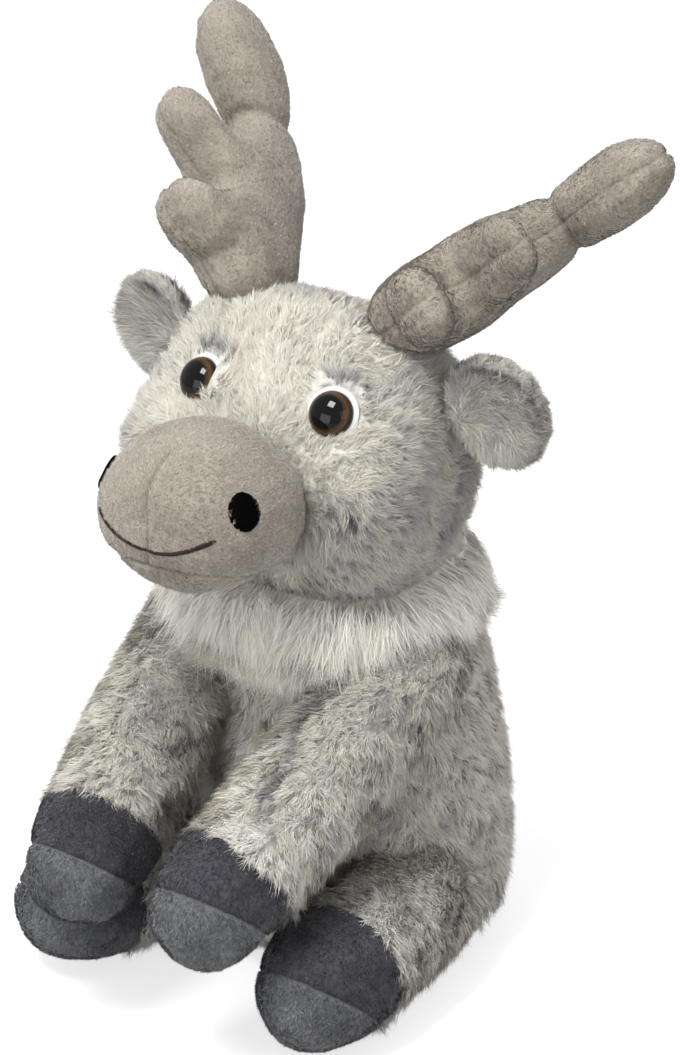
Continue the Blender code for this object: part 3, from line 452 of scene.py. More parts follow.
def clear_of(trees, points, margin):
    clear = np.ones(len(points), bool)
    for tree in trees:
        clear &= depth_inside(tree, points) < margin
    return clear


def body_flow(points, normals):
    downwards = np.tile(np.array((0.0, 0.0, -1.0)), (len(points), 1))
    downwards[:, :2] += points[:, :2] * 4
    return downwards


seat_edge_height, seat_pile_length, body_pile_length = 0.012, 0.0040, 0.0054
leg_overlap = 0.003
fur_lie = {"hairs": 14, "spread": 0.0015, "width": 0.00022, "lift": 0.92, "gather": 0.35, "curl": 0.45,
           "swirl": 0.7, "swirl_size": 0.008}
body_pile = []
for half, seed, on_half in (("front", 11, lambda p: p[:, 1] < 0), ("back", 12, lambda p: p[:, 1] >= 0)):
    body_pile.append(lay_pile(
        "body_fur_" + half, body_skin, tufts=16000,
        length=lambda p, n: np.where(p[:, 2] < seat_edge_height, seat_pile_length, body_pile_length),
        flow=body_flow,
        shade=lambda p, n: mottled(p, 0.63, (0.09, 0.028, 5), (0.09, 0.0075, 6)) + undercoat_and_shade_flecks(p, 61),
        keep=lambda p, n, on_half=on_half: on_half(p) & clear_of(leg_trees, p, leg_overlap),
        material=grey_fur, seed=seed, upward=0.2, **fur_lie))
for piece in [body_skin] + body_pile:
    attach(piece, "body")
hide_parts("body_cover", "body_stuffing", "pellet_bag")


# Legs: four tubes of the same fur fabric, filled, with the pile combed down to the hoof, where
# it hangs over the seam.
def limb_ends(limb):
    """Points at the root and at the hoof end of a leg, from its joint and its sole's box."""
    joint = next(joint for joint in frame["joints"] if joint["child"] == limb)
    root = np.array(joint["pos_m"])
    low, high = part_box(limb.replace("leg", "hoof") + "_sole")
    return root, (np.array(low) + np.array(high)) / 2


leg_pile_length, hoof_edge_extra = 0.0053, 0.0022
hoof_seam_from_toe, longer_from, longer_over = 0.0136, 0.012, 0.010


def leg_length(points, root, toe):
    """The pile is longer in the last centimetre before the hoof's edge."""
    run = toe - root
    along = (points - root) @ run / np.linalg.norm(run)
    seam = np.linalg.norm(run) - hoof_seam_from_toe
    return leg_pile_length + hoof_edge_extra * np.clip((along - seam + longer_from) / longer_over, 0, 1)


parting_start = np.array((0.0301, -0.0523, 0.1110))
parting_end = np.array((0.0341, -0.0850, 0.0885))
parting_facing = np.array((0.06, -0.57, 0.82))


def parting(points, normals):
    """One along the line on the left front leg where the pile falls apart, darkened there with its undercoat
    and painted shade.
    """
    run = parting_end - parting_start
    aside = np.cross(run, parting_facing)
    aside /= np.linalg.norm(aside)
    offset = points - parting_start
    along = offset @ run / (run @ run)
    wave = 0.0012 * np.sin(along * 9)
    near = falloff(offset @ aside - wave, 0.0022)
    return near * (along > -0.35) * (along < 1.15) * (normals @ parting_facing > 0.3)


body_overlap = 0.004
for index, limb in enumerate(limb_names):
    root, toe = limb_ends(limb)
    direction = (toe - root) / np.linalg.norm(toe - root)

    def leg_flow(points, normals, direction=direction):
        return np.tile(direction, (len(points), 1)) + np.array((0, 0, -0.25))

    def leg_shade(points, normals, limb=limb):
        tone = mottled(points, 0.64, (0.08, 0.026, 7), (0.08, 0.0075, 8)) + 0.7 * undercoat_and_shade_flecks(points, 65)
        # The parting on the left front leg is darkened: partly the undercoat, partly painted shade in the
        # gap.
        if limb == "left_front_leg":
            tone -= 0.45 * parting(points, normals)
        # Painted light: the hind legs are a little lighter in tone, against the shade they sit in.
        if limb.endswith("hind_leg"):
            tone += 0.04
        return tone

    leg_fur = lay_pile(
        limb + "_fur", leg_skins[limb], tufts=5800,
        length=lambda p, n, root=root, toe=toe: leg_length(p, root, toe), flow=leg_flow, shade=leg_shade,
        keep=lambda p, n: clear_of([body_tree], p, body_overlap), material=grey_fur, seed=31 + index,
        upward=0.15, **fur_lie)
    for piece in (leg_skins[limb], leg_fur):
        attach(piece, limb)
    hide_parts(limb + "_cover", limb + "_stuffing")


# Hooves: an upper panel and a sole panel of dark short-pile fabric, sewn together in a seam that
# runs round the foot. The seam pulls a small groove with puckers beside it.
def short_pile_material(name, dark, light):
    """Velvety short pile: broad patches where the nap lies lighter or darker, and a fine grain."""
    material, nodes, links, shader = new_material(name)
    shader.inputs["Roughness"].default_value = 0.9
    shader.inputs["Specular IOR Level"].default_value = 0.2
    shader.inputs["Sheen Weight"].default_value = 0.35
    shader.inputs["Sheen Roughness"].default_value = 0.4
    place = nodes.new("ShaderNodeTexCoord")
    patches = nodes.new("ShaderNodeTexNoise")
    patches.inputs["Scale"].default_value = 57.2
    patches.inputs["Detail"].default_value = 5
    patches.inputs["Roughness"].default_value = 0.55
    patches.inputs["Distortion"].default_value = 0.8
    ramp = colour_ramp(nodes, ((0.36, dark), (0.64, light)))
    seam = nodes.new("ShaderNodeAttribute")
    seam.attribute_name = "seam"
    in_seam = nodes.new("ShaderNodeMix")
    in_seam.data_type = "RGBA"
    in_seam.inputs["B"].default_value = (*[c * 0.28 for c in dark], 1)
    grain = nodes.new("ShaderNodeTexNoise")
    grain.inputs["Scale"].default_value = 1500
    grain.inputs["Detail"].default_value = 3
    bump = nodes.new("ShaderNodeBump")
    bump.inputs["Strength"].default_value = 0.35
    bump.inputs["Distance"].default_value = 0.0004
    links.new(place.outputs["Object"], patches.inputs["Vector"])
    links.new(place.outputs["Object"], grain.inputs["Vector"])
    links.new(patches.outputs["Fac"], ramp.inputs[0])
    links.new(grain.outputs["Fac"], bump.inputs["Height"])
    links.new(seam.outputs["Fac"], in_seam.inputs["Factor"])
    links.new(ramp.outputs["Color"], in_seam.inputs["A"])
    links.new(in_seam.outputs["Result"], shader.inputs["Base Color"])
    links.new(bump.outputs[0], shader.inputs["Normal"])
    return material


def mark_seams(skin, amounts):
    """Store how deep in a seam each vertex is, for the material to darken."""
    layer = skin.data.attributes.new("seam", "FLOAT", "POINT")
    layer.data.foreach_set("value", np.clip(amounts, 0, 1).astype(np.float32))


def push_vertices(skin, distances):
    """Move each vertex along its normal."""
    points, normals, _ = mesh_arrays(skin)
    moved = points + normals * distances[:, None]
    skin.data.vertices.foreach_set("co", moved.astype(np.float32).ravel())
    skin.data.update()


def drawn_seam(off_seam, groove, dip):
    """How a seam pulls the fabric in: a fine groove in a wider dip, each given as depth and width."""
    return -groove[0] * falloff(off_seam, groove[1]) - dip[0] * falloff(off_seam, dip[1])


def split_at_plane(skin, point, normal):
    """Cut a clean edge where a seam plane crosses, and give the side beyond it the second material."""
    select_only(skin)
    on_whole_mesh(bpy.ops.mesh.bisect, plane_co=point, plane_no=normal, threshold=0.00005)
    for face in skin.data.polygons:
        face.material_index = 1 if (face.center - point).dot(normal) > 0 else 0


hoof_dark = short_pile_material("dark_hoof_pile", (0.040, 0.040, 0.050), (0.070, 0.070, 0.084))
hoof_light = short_pile_material("light_hoof_pile", (0.10, 0.102, 0.115), (0.15, 0.152, 0.165))
dark_nap = pile_material("dark_hoof_nap", ((0.0, (0.025, 0.025, 0.033)), (1.0, (0.12, 0.12, 0.138))),
                         ((0.0, (0.025, 0.025, 0.032)), (1.0, (0.07, 0.07, 0.082))), (0.1, 0.6), sheen=0.3)
light_nap = pile_material("light_hoof_nap", ((0.0, (0.085, 0.087, 0.10)), (1.0, (0.36, 0.366, 0.385))),
                          ((0.0, (0.07, 0.072, 0.08)), (1.0, (0.16, 0.162, 0.18))), (0.1, 0.6), sheen=0.3)
sole_tilt = math.radians(42)
sole_normal = Vector((0, -math.sin(sole_tilt), -math.cos(sole_tilt)))
hoof_grain, hoof_fullness, seam_bare = 0.0008, 0.0006, 0.0005
for index, limb in enumerate(limb_names):
    hoof = limb.replace("leg", "hoof")
    hoof_skin = stuffed_skin(hoof + "_skin", (hoof + "_upper", hoof + "_sole"), hoof_grain,
                             -hoof_fullness, 14)
    sole_mesh = frame["nodes"][hoof + "_sole"].data
    seam_depth = min(v.co.dot(sole_normal) for v in sole_mesh.vertices)
    seam_point = sole_normal * seam_depth
    hoof_skin.data.materials.append(hoof_dark)
    hoof_skin.data.materials.append(hoof_light)
    split_at_plane(hoof_skin, seam_point, sole_normal)
    points, _, _ = mesh_arrays(hoof_skin)
    off_seam = (points - np.array(seam_point)) @ np.array(sole_normal)
    puckers = ripple(points, 0.0032, 60 + index)
    push_vertices(hoof_skin, drawn_seam(off_seam, (0.0005, 0.0008), (0.0006, 0.0035))
                  + 0.00025 * puckers * falloff(off_seam, 0.004)
                  + 0.0004 * ripple(points, 0.012, 70 + index))
    mark_seams(hoof_skin, 0.6 * falloff(off_seam, 0.0006))
    root, toe = limb_ends(limb)
    direction = (toe - root) / np.linalg.norm(toe - root)

    def nap_flow(points, normals, direction=direction):
        return np.tile(direction, (len(points), 1)) + 0.4 * np.cross(normals, direction)

    def on_sole(points, seam_point=seam_point):
        return (points - np.array(seam_point)) @ np.array(sole_normal)

    naps = []
    for panel, material, side_test, reach, seed in (
            ("_upper", dark_nap, lambda p, n: on_sole(p) < -seam_bare, 0.0011, 80),
            ("_sole", light_nap, lambda p, n: on_sole(p) > seam_bare, 0.0014, 90)):
        nap = lay_pile(
            hoof + panel + "_nap", hoof_skin, tufts=11000, hairs=5, spread=0.0005, width=0.00024, lift=0.7,
            length=lambda p, n, reach=reach: np.full(len(p), reach),
            flow=nap_flow, uneven=0.12,
            shade=lambda p, n: mottled(p, 0.46, (0.12, 0.009, 81), (0.08, 0.0024, 82)),
            keep=side_test, material=material, seed=seed + index, swirl=0.9, swirl_size=0.006, gather=0.8,
            jointed=False, softness=0.45, planted=0.0001)
        naps.append(nap)
    for piece, slot in ((hoof_skin, "dark_hoof_pile"), (naps[0], "dark_hoof_pile"),
                        (naps[1], "light_hoof_pile")):
        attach(piece, limb)
    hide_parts(hoof + "_upper", hoof + "_sole")


# Head: a round bag of the fur fabric, paler and shorter in front, combed away from the nose.
# The pile parts round each eye and hangs a little over its upper edge, with painted shade darkening the
# tufts above the eye.
muzzle_low, muzzle_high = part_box("muzzle_cover")
muzzle_middle = np.array((0.0, (muzzle_low.y + muzzle_high.y) / 2, (muzzle_low.z + muzzle_high.z) / 2))
eye_places = {}
for side in ("left", "right"):
    ring_low, ring_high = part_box(side + "_eye_ring")
    washer_low, washer_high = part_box(side + "_eye_washer")
    eye_middle = (ring_low + ring_high) / 2
    eye_places[side] = (eye_middle, (eye_middle - (washer_low + washer_high) / 2).normalized())

head_skin = stuffed_skin("head_skin", ("head_cover",), 0.0018, 0.0018, 14)
pale_backing = backing_material("pale_fur_backing", (0.50, 0.49, 0.45), (0.70, 0.68, 0.62))
head_skin.data.materials.append(pale_backing)
points, _, _ = mesh_arrays(head_skin)
fullness = np.zeros(len(points))
nose_bridge = (((0.0, -0.056, 0.191), 0.015, 0.0085), ((0.0, -0.0435, 0.1970), 0.012, 0.0035))
cheeks = (((0.040, -0.045, 0.180), 0.019, 0.0100), ((-0.040, -0.045, 0.180), 0.019, 0.0100))
forehead = (((0.0, -0.040, 0.213), 0.020, 0.0025),)
inner_eye_corners = (((0.0160, -0.0385, 0.1970), 0.0070, 0.0022),
                     ((-0.0160, -0.0385, 0.1985), 0.0085, 0.0060))
socket_reach, socket_depth = 0.008, 0.0020
for place, reach, rise in (nose_bridge[0], *cheeks, *forehead, nose_bridge[1], *inner_eye_corners):
    fullness += rise * falloff(np.linalg.norm(points - np.array(place), axis=1), reach)
for middle, axis in eye_places.values():
    fullness -= socket_depth * falloff(np.linalg.norm(points - np.array(middle), axis=1), socket_reach)
push_vertices(head_skin, fullness)
muzzle_hull = stuffed_skin("muzzle_guide", ("muzzle_cover", "chin_panel"), 0.0016, 0.0002, 4)
muzzle_tree = skin_tree(muzzle_hull)
bpy.data.objects.remove(muzzle_hull)


def from_eyes(points):
    """Distance from the nearer eye's axis, and the direction away from it."""
    best = np.full(len(points), 1.0)
    away = np.zeros((len(points), 3))
    for middle, axis in eye_places.values():
        offset = points - np.array(middle)
        offset -= np.outer(offset @ np.array(axis), np.array(axis))
        distance = np.linalg.norm(offset, axis=1)
        near = distance < best
        best[near] = distance[near]
        away[near] = offset[near] / distance[near, None]
    return best, away


def face_share(points):
    """One on the front of the face and the crown, none on the cheeks' far sides and the back."""
    towards = unit(points - np.array((0, -0.0175, 0.1775))) @ np.array((0, -0.80, 0.60))
    share = np.clip((towards - 0.40 + 0.11 * ripple(points, 0.010, 18)) / 0.30, 0, 1)
    return share * share * (3 - 2 * share)


def head_flow(points, normals):
    away_from_nose = unit(points - (muzzle_middle + np.array((0, 0.01, 0))))
    away_from_nose[:, 2] -= 0.45 * (1 - face_share(points))
    distance, away = from_eyes(points)
    near_eye = falloff(distance - 0.008, 0.005) * (distance < 0.018) * (away[:, 2] > -0.3)
    near_eye = near_eye[:, None]
    return away_from_nose * (1 - near_eye) + away * near_eye


def head_shade(points, normals):
    distance, away = from_eyes(points)
    # Painted shade: the tufts just above each eye are darkened, as the crease under the overhanging pile
    # would be.
    brow = falloff(distance - 0.0106, 0.0022) * (away[:, 2] > 0.62)
    front = face_share(points)
    mottle = mottled(points, 0.0, (0.09, 0.024, 15), (0.08, 0.0085, 16)) + undercoat_and_shade_flecks(points, 67)
    return 0.48 + 0.14 * front + mottle * (1.0 - 0.85 * front) - 0.40 * brow


def head_keep(points, normals):
    distance, away = from_eyes(points)
    clear_of_eye = (distance > np.where(away[:, 2] > -0.3, 0.0092, 0.0080)) | (points[:, 1] > -0.02)
    return clear_of_eye & (depth_inside(muzzle_tree, points) < -0.0004)


head_fur = lay_pile(
    "head_fur", head_skin, tufts=13000, hairs=14, spread=0.0014, width=0.00021,
    lift=lambda p, n: 0.92 - 0.22 * face_share(p), length=lambda p, n: 0.0054 - 0.0010 * face_share(p),
    flow=head_flow, shade=head_shade, keep=head_keep, material=grey_fur, seed=17, gather=0.3, curl=0.45,
    swirl=0.7, swirl_size=0.008, uneven=0.045)
for piece in (head_skin, head_fur):
    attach(piece, "head")
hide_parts("head_cover", "head_stuffing")


# Muzzle: two short-pile panels joined by a seam down the middle of the nose, and a chin panel
# sewn on below the mouth.
taupe_pile = short_pile_material("taupe_short_pile", (0.30, 0.262, 0.218), (0.38, 0.335, 0.282))
taupe_tips = ((0.0, (0.20, 0.170, 0.140)), (0.5, (0.45, 0.400, 0.338)), (1.0, (0.68, 0.622, 0.545)))
taupe_roots = ((0.0, (0.15, 0.125, 0.100)), (1.0, (0.32, 0.28, 0.235)))
taupe_nap = pile_material("taupe_nap", taupe_tips, taupe_roots, (0.1, 0.6), sheen=0.3)
muzzle_skin = stuffed_skin("muzzle_skin", ("muzzle_cover", "chin_panel"), 0.0007, 0.0003, 8)
muzzle_skin.data.materials.append(taupe_pile)
chin_tilt = math.radians(12)
chin_normal = Vector((0, math.sin(chin_tilt), math.cos(chin_tilt)))
chin_height = max(v.co.dot(chin_normal) for v in frame["nodes"]["chin_panel"].data.vertices)
points, _, _ = mesh_arrays(muzzle_skin)
off_chin = points @ np.array(chin_normal) - chin_height
on_front = np.clip((-0.080 - points[:, 1]) / 0.010, 0, 1)
off_centre = points[:, 0] - 0.0006 * np.sin(points[:, 2] * 260)
muzzle_puckers = ripple(points, 0.0034, 41)
push_vertices(muzzle_skin, drawn_seam(off_chin, (0.0005, 0.0008), (0.0006, 0.0035))
              + drawn_seam(off_centre, (0.0004, 0.0007), (0.0004, 0.003)) * on_front
              + 0.00025 * muzzle_puckers * falloff(off_chin, 0.004)
              + 0.00020 * muzzle_puckers * falloff(off_centre, 0.003) * on_front
              + 0.0004 * ripple(points, 0.014, 42))
mark_seams(muzzle_skin, 0.8 * falloff(off_chin, 0.0006) + 0.6 * falloff(off_centre, 0.0005) * on_front)


def muzzle_seam(points):
    """One in the chin seam and the centre seam of the nose."""
    chin = falloff(points @ np.array(chin_normal) - chin_height, 0.0009)
    centre = falloff(points[:, 0] - 0.0006 * np.sin(points[:, 2] * 260), 0.0008)
    return np.maximum(chin, centre * np.clip((-0.080 - points[:, 1]) / 0.010, 0, 1))


def nose_flow(points, normals):
    return points - (muzzle_middle + np.array((0, -0.06, 0.0)))


muzzle_nap = lay_pile(
    "muzzle_nap", muzzle_skin, tufts=22000, hairs=5, spread=0.0006, width=0.00019, lift=0.7,
    length=lambda p, n: np.full(len(p), 0.0010),
    flow=nose_flow, uneven=0.12,
    shade=lambda p, n: mottled(p, 0.68, (0.07, 0.011, 43), (0.06, 0.0025, 44)) - 0.25 * muzzle_seam(p),
    keep=lambda p, n: (p[:, 1] < -0.045) & (muzzle_seam(p) < 0.5), material=taupe_nap, seed=45, swirl=0.7,
    gather=0.7, jointed=False, softness=0.40, planted=0.0001)
for piece in (muzzle_skin, muzzle_nap):
    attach(piece, "head")
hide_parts("muzzle_cover", "chin_panel", "muzzle_stuffing")
muzzle_surface = skin_tree(muzzle_skin)


# Nostrils and mouth: satin stitch, rows of thick thread laid side by side over the short pile,
# black for the nostrils and dark brown for the smile.
def thread_material(name, colour, sheen):
    material, nodes, links, shader = new_material(name)
    shader.inputs["Roughness"].default_value = 0.8
    shader.inputs["Specular IOR Level"].default_value = 0.03
    shader.inputs["Sheen Weight"].default_value = sheen
    place = nodes.new("ShaderNodeTexCoord")
    twist = nodes.new("ShaderNodeTexNoise")
    twist.inputs["Scale"].default_value = 2500
    ramp = colour_ramp(nodes, ((0.3, [c * 0.6 for c in colour]), (0.7, [c * 1.5 for c in colour])))
    links.new(place.outputs["Object"], twist.inputs["Vector"])
    links.new(twist.outputs["Fac"], ramp.inputs[0])
    links.new(ramp.outputs["Color"], shader.inputs["Base Color"])
    return material


def lay_stitches(name, rows, thread_radius, material):
    """Each row of points becomes one bent thread with closed ends; all rows make one mesh."""
    threads = []
    for row in rows:
        curve = bpy.data.curves.new(name, "CURVE")
        curve.dimensions = "3D"
        curve.bevel_depth = thread_radius
        curve.bevel_resolution = 1
        curve.use_fill_caps = True
        spline = curve.splines.new("POLY")
        spline.points.add(len(row) - 1)
        for point, place in zip(spline.points, row):
            point.co = (*place, 1)
        thread = bpy.data.objects.new(name, curve)
        bpy.context.scene.collection.objects.link(thread)
        select_only(thread)
        bpy.ops.object.convert(target="MESH")
        threads.append(bpy.context.active_object)
    stitches = join_all(name, threads)
    on_whole_mesh(bpy.ops.mesh.remove_doubles, threshold=merge_distance)
    on_whole_mesh(bpy.ops.mesh.normals_make_consistent, inside=False)
    bpy.ops.object.shade_smooth()
    stitches.data.materials.append(material)
    return stitches


def on_muzzle(start, direction, rise):
    place, normal, _, _ = muzzle_surface.ray_cast(start, direction)
    return place + normal * rise


black_thread = thread_material("black_thread", (0.0015, 0.0012, 0.0012), 0.0)
brown_thread = thread_material("brown_thread", (0.030, 0.014, 0.010), 0.2)
nostril_half_width, nostril_half_height, nostril_rows = 0.0052, 0.0057, 30
thread_over, thread_under = 0.0007, -0.0001
for side in ("left", "right"):
    corners = [v.co for v in frame["nodes"][side + "_nostril"].data.vertices]
    nostril_middle, outward, _, _ = muzzle_surface.find_nearest(sum(corners, Vector()) / len(corners))
    across = Vector((0, 0, 1)).cross(outward).normalized()
    upwards = outward.cross(across)
    rows = []
    for step in range(nostril_rows):
        share = (step + 0.5) / nostril_rows * 2 - 1
        half = nostril_half_width * math.sqrt(1 - share * share)
        row = []
        for offset_share in (-1, -0.5, 0, 0.5, 1):
            aim = (nostril_middle + across * half * offset_share + upwards * nostril_half_height * share
                   + outward * 0.02)
            sink = thread_under if abs(offset_share) == 1 else thread_over
            row.append(on_muzzle(aim, -outward, sink))
        rows.append(row)
    nostril = lay_stitches(side + "_nostril_stitches", rows, 0.00030, black_thread)
    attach(nostril, "head")
    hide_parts(side + "_nostril")

mouth_low, mouth_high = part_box("mouth_stitching")
mouth_half = (mouth_high.x - mouth_low.x) / 2
cad_stitch_width, mouth_steps = 0.0016, 50
mouth_rise = mouth_high.z - mouth_low.z - cad_stitch_width
rows = []
for step in range(2 * mouth_steps + 1):
    share = step / mouth_steps - 1
    slope = 2 * mouth_rise * share / mouth_half
    lean = math.atan(slope) + 0.5
    reach = (0.00045 + 0.00040 * abs(share)) * min(1, (1 - abs(share)) * 14 + 0.35)
    middle = Vector((mouth_half * share, 0, mouth_low.z + cad_stitch_width / 2 + mouth_rise * share ** 2))
    tilt = Vector((-math.sin(lean), 0, math.cos(lean)))
    row = []
    for offset_share in (-1, 0, 1):
        aim = middle + tilt * reach * offset_share
        aim.y = -0.2
        row.append(on_muzzle(aim, Vector((0, 1, 0)), 0.0004 if offset_share == 0 else thread_under))
    rows.append(row)
mouth = lay_stitches("mouth_stitches", rows, 0.00028, brown_thread)
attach(mouth, "head")
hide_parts("mouth_stitching")


# Eyes: glossy brown safety eyes with a black pupil, each set in a matt white ring. The stem passes
# through the head cover, and a washer behind it holds the eye.
eye_ring_radius, eye_ring_thickness, eye_ring_flatness, eye_ring_forward = 0.0070, 0.0018, 0.4, 0.0004
lens_radius, lens_flatness, lens_forward = 0.0072, 0.70, 0.0014


def plastic_material(name, colour, roughness):
    material, nodes, links, shader = new_material(name)
    place = nodes.new("ShaderNodeTexCoord")
    scuffs = nodes.new("ShaderNodeTexNoise")
    scuffs.inputs["Scale"].default_value = 700
    scuffs.inputs["Detail"].default_value = 5
    tone = colour_ramp(nodes, ((0.3, [c * 0.93 for c in colour]), (0.7, colour)))
    polish = nodes.new("ShaderNodeMapRange")
    polish.inputs["To Min"].default_value = roughness * 0.85
    polish.inputs["To Max"].default_value = roughness * 1.15
    links.new(place.outputs["Object"], scuffs.inputs["Vector"])
    links.new(scuffs.outputs["Fac"], tone.inputs[0])
    links.new(scuffs.outputs["Fac"], polish.inputs["Value"])
    links.new(tone.outputs["Color"], shader.inputs["Base Color"])
    links.new(polish.outputs[0], shader.inputs["Roughness"])
    return material


def lens_material(name, middle, axis):
    """Brown iris round a black pupil, by distance from the eye's own axis."""
    material, nodes, links, shader = new_material(name)
    shader.inputs["Roughness"].default_value = 0.05
    shader.inputs["Specular IOR Level"].default_value = 0.35
    place = nodes.new("ShaderNodeTexCoord")
    centred = nodes.new("ShaderNodeMapping")
    centred.vector_type = "TEXTURE"
    centred.inputs["Location"].default_value = middle
    centred.inputs["Rotation"].default_value = axis.to_track_quat("Z", "Y").to_euler()
    flatten = nodes.new("ShaderNodeVectorMath")
    flatten.operation = "MULTIPLY"
    flatten.inputs[1].default_value = (1, 1, 0)
    radius = nodes.new("ShaderNodeVectorMath")
    radius.operation = "LENGTH"
    scaled = nodes.new("ShaderNodeMath")
    scaled.operation = "DIVIDE"
    scaled.inputs[1].default_value = lens_radius
    iris = colour_ramp(nodes, ((0.70, (0.001, 0.001, 0.001)), (0.76, (0.035, 0.018, 0.008)),
                               (0.88, (0.085, 0.046, 0.020)), (0.98, (0.010, 0.005, 0.003))))
    links.new(place.outputs["Object"], centred.inputs["Vector"])
    links.new(centred.outputs[0], flatten.inputs[0])
    links.new(flatten.outputs[0], radius.inputs[0])
    links.new(radius.outputs["Value"], scaled.inputs[0])
    links.new(scaled.outputs[0], iris.inputs[0])
    links.new(iris.outputs["Color"], shader.inputs["Base Color"])
    return material


white_ring = plastic_material("white_ring_plastic", (0.74, 0.74, 0.725), 0.7)
black_plastic = plastic_material("black_eye_plastic", (0.01, 0.01, 0.011), 0.2)
washer_plastic = plastic_material("washer_plastic", (0.68, 0.68, 0.66), 0.45)
for side in ("left", "right"):
    middle, axis = eye_places[side]
    turn = axis.to_track_quat("Z", "Y")
    bpy.ops.object.select_all(action="DESELECT")
    bpy.ops.mesh.primitive_torus_add(major_radius=eye_ring_radius, minor_radius=eye_ring_thickness,
                                     major_segments=72, minor_segments=16)
    ring = bpy.context.active_object
    ring.name = side + "_eye_white"
    on_whole_mesh(bpy.ops.transform.resize, value=(1, 1, eye_ring_flatness))
    ring.data.transform(Matrix.Translation(middle + axis * eye_ring_forward) @ turn.to_matrix().to_4x4())
    bpy.ops.object.shade_smooth()
    ring.data.materials.append(white_ring)
    bpy.ops.object.select_all(action="DESELECT")
    bpy.ops.mesh.primitive_uv_sphere_add(segments=64, ring_count=32, radius=lens_radius)
    lens = bpy.context.active_object
    lens.name = side + "_eye_dome"
    on_whole_mesh(bpy.ops.transform.resize, value=(1, 1, lens_flatness))
    lens.data.transform(Matrix.Translation(middle + axis * lens_forward) @ turn.to_matrix().to_4x4())
    bpy.ops.object.shade_smooth()
    lens.data.materials.append(lens_material(side + "_eye_lens", middle, axis))
    for piece, slot in ((ring, "white_plastic"), (lens, "brown_lens")):
        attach(piece, "head")
    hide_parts(side + "_eye_ring")
    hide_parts(side + "_eye_lens")
    for node, material in ((side + "_eye_pupil", black_plastic), (side + "_eye_washer", washer_plastic)):
        frame["nodes"][node].data.materials.clear()
        frame["nodes"][node].data.materials.append(material)


# Ears: round dishes of the fur fabric, short in pile, fluffy inside and darkened there by flecks of
# undercoat and painted shade, folded at the root and sewn to the head at one edge.
ear_grain, ear_pile_room = 0.0010, 0.0008
for index, side in enumerate(("left", "right")):
    ear_skin = copy_of_nodes(side + "_ear_skin", (side + "_ear",))
    fine_mesh(ear_skin, ear_grain)
    apply_modifier(ear_skin, "SMOOTH", factor=0.5, iterations=6)
    apply_modifier(ear_skin, "DISPLACE", strength=-ear_pile_room, mid_level=0.0)
    bpy.ops.object.shade_smooth()
    ear_skin.data.materials.append(grey_backing)
    ear_root = next(np.array(j["pos_m"]) for j in frame["joints"] if j["child"] == side + "_ear")
    low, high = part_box(side + "_ear")
    ear_middle = (np.array(low) + np.array(high)) / 2

    def ear_flow(points, normals, ear_root=ear_root):
        return points - ear_root

    def inside_share(points, ear_middle=ear_middle):
        offset = points - ear_middle
        near = np.clip((0.0135 - np.linalg.norm(offset[:, (0, 2)], axis=1)) / 0.003, 0, 1)
        return near * (offset[:, 1] < 0.002)

    def crease(points, ear_middle=ear_middle, outer=math.copysign(1, ear_root[0])):
        """The fold between the rim and the fluffy inside, at the upper outer side: the pile is shorter there
        and darkened with painted shade.
        """
        offset = points - ear_middle
        radius = np.linalg.norm(offset[:, (0, 2)], axis=1)
        upper_outer = np.clip((offset[:, 2] + 0.7 * outer * offset[:, 0]) / 0.008 - 0.3, 0, 1)
        return falloff(radius - 0.0125, 0.0016) * upper_outer * (offset[:, 1] < 0.002)

    ear_fur = lay_pile(
        side + "_ear_fur", ear_skin, tufts=3600, hairs=12, spread=0.0014, width=0.00021, lift=0.5,
        length=lambda p, n: 0.0034 + 0.0042 * inside_share(p) - 0.0012 * crease(p),
        flow=ear_flow,
        # Painted shade darkens the fold by the rim; inside, the flecks carry the undercoat and painted
        # shade.
        shade=lambda p, n: (0.50 + 0.08 * ripple(p, 0.009, 21) + undercoat_and_shade_flecks(p, 69) * inside_share(p)
                            - 0.45 * crease(p)),
        keep=lambda p, n: np.ones(len(p), bool), material=grey_fur, seed=51 + index, swirl=0.4, gather=0.3)
    for piece in (ear_skin, ear_fur):
        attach(piece, side + "_ear")
    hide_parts(side + "_ear")


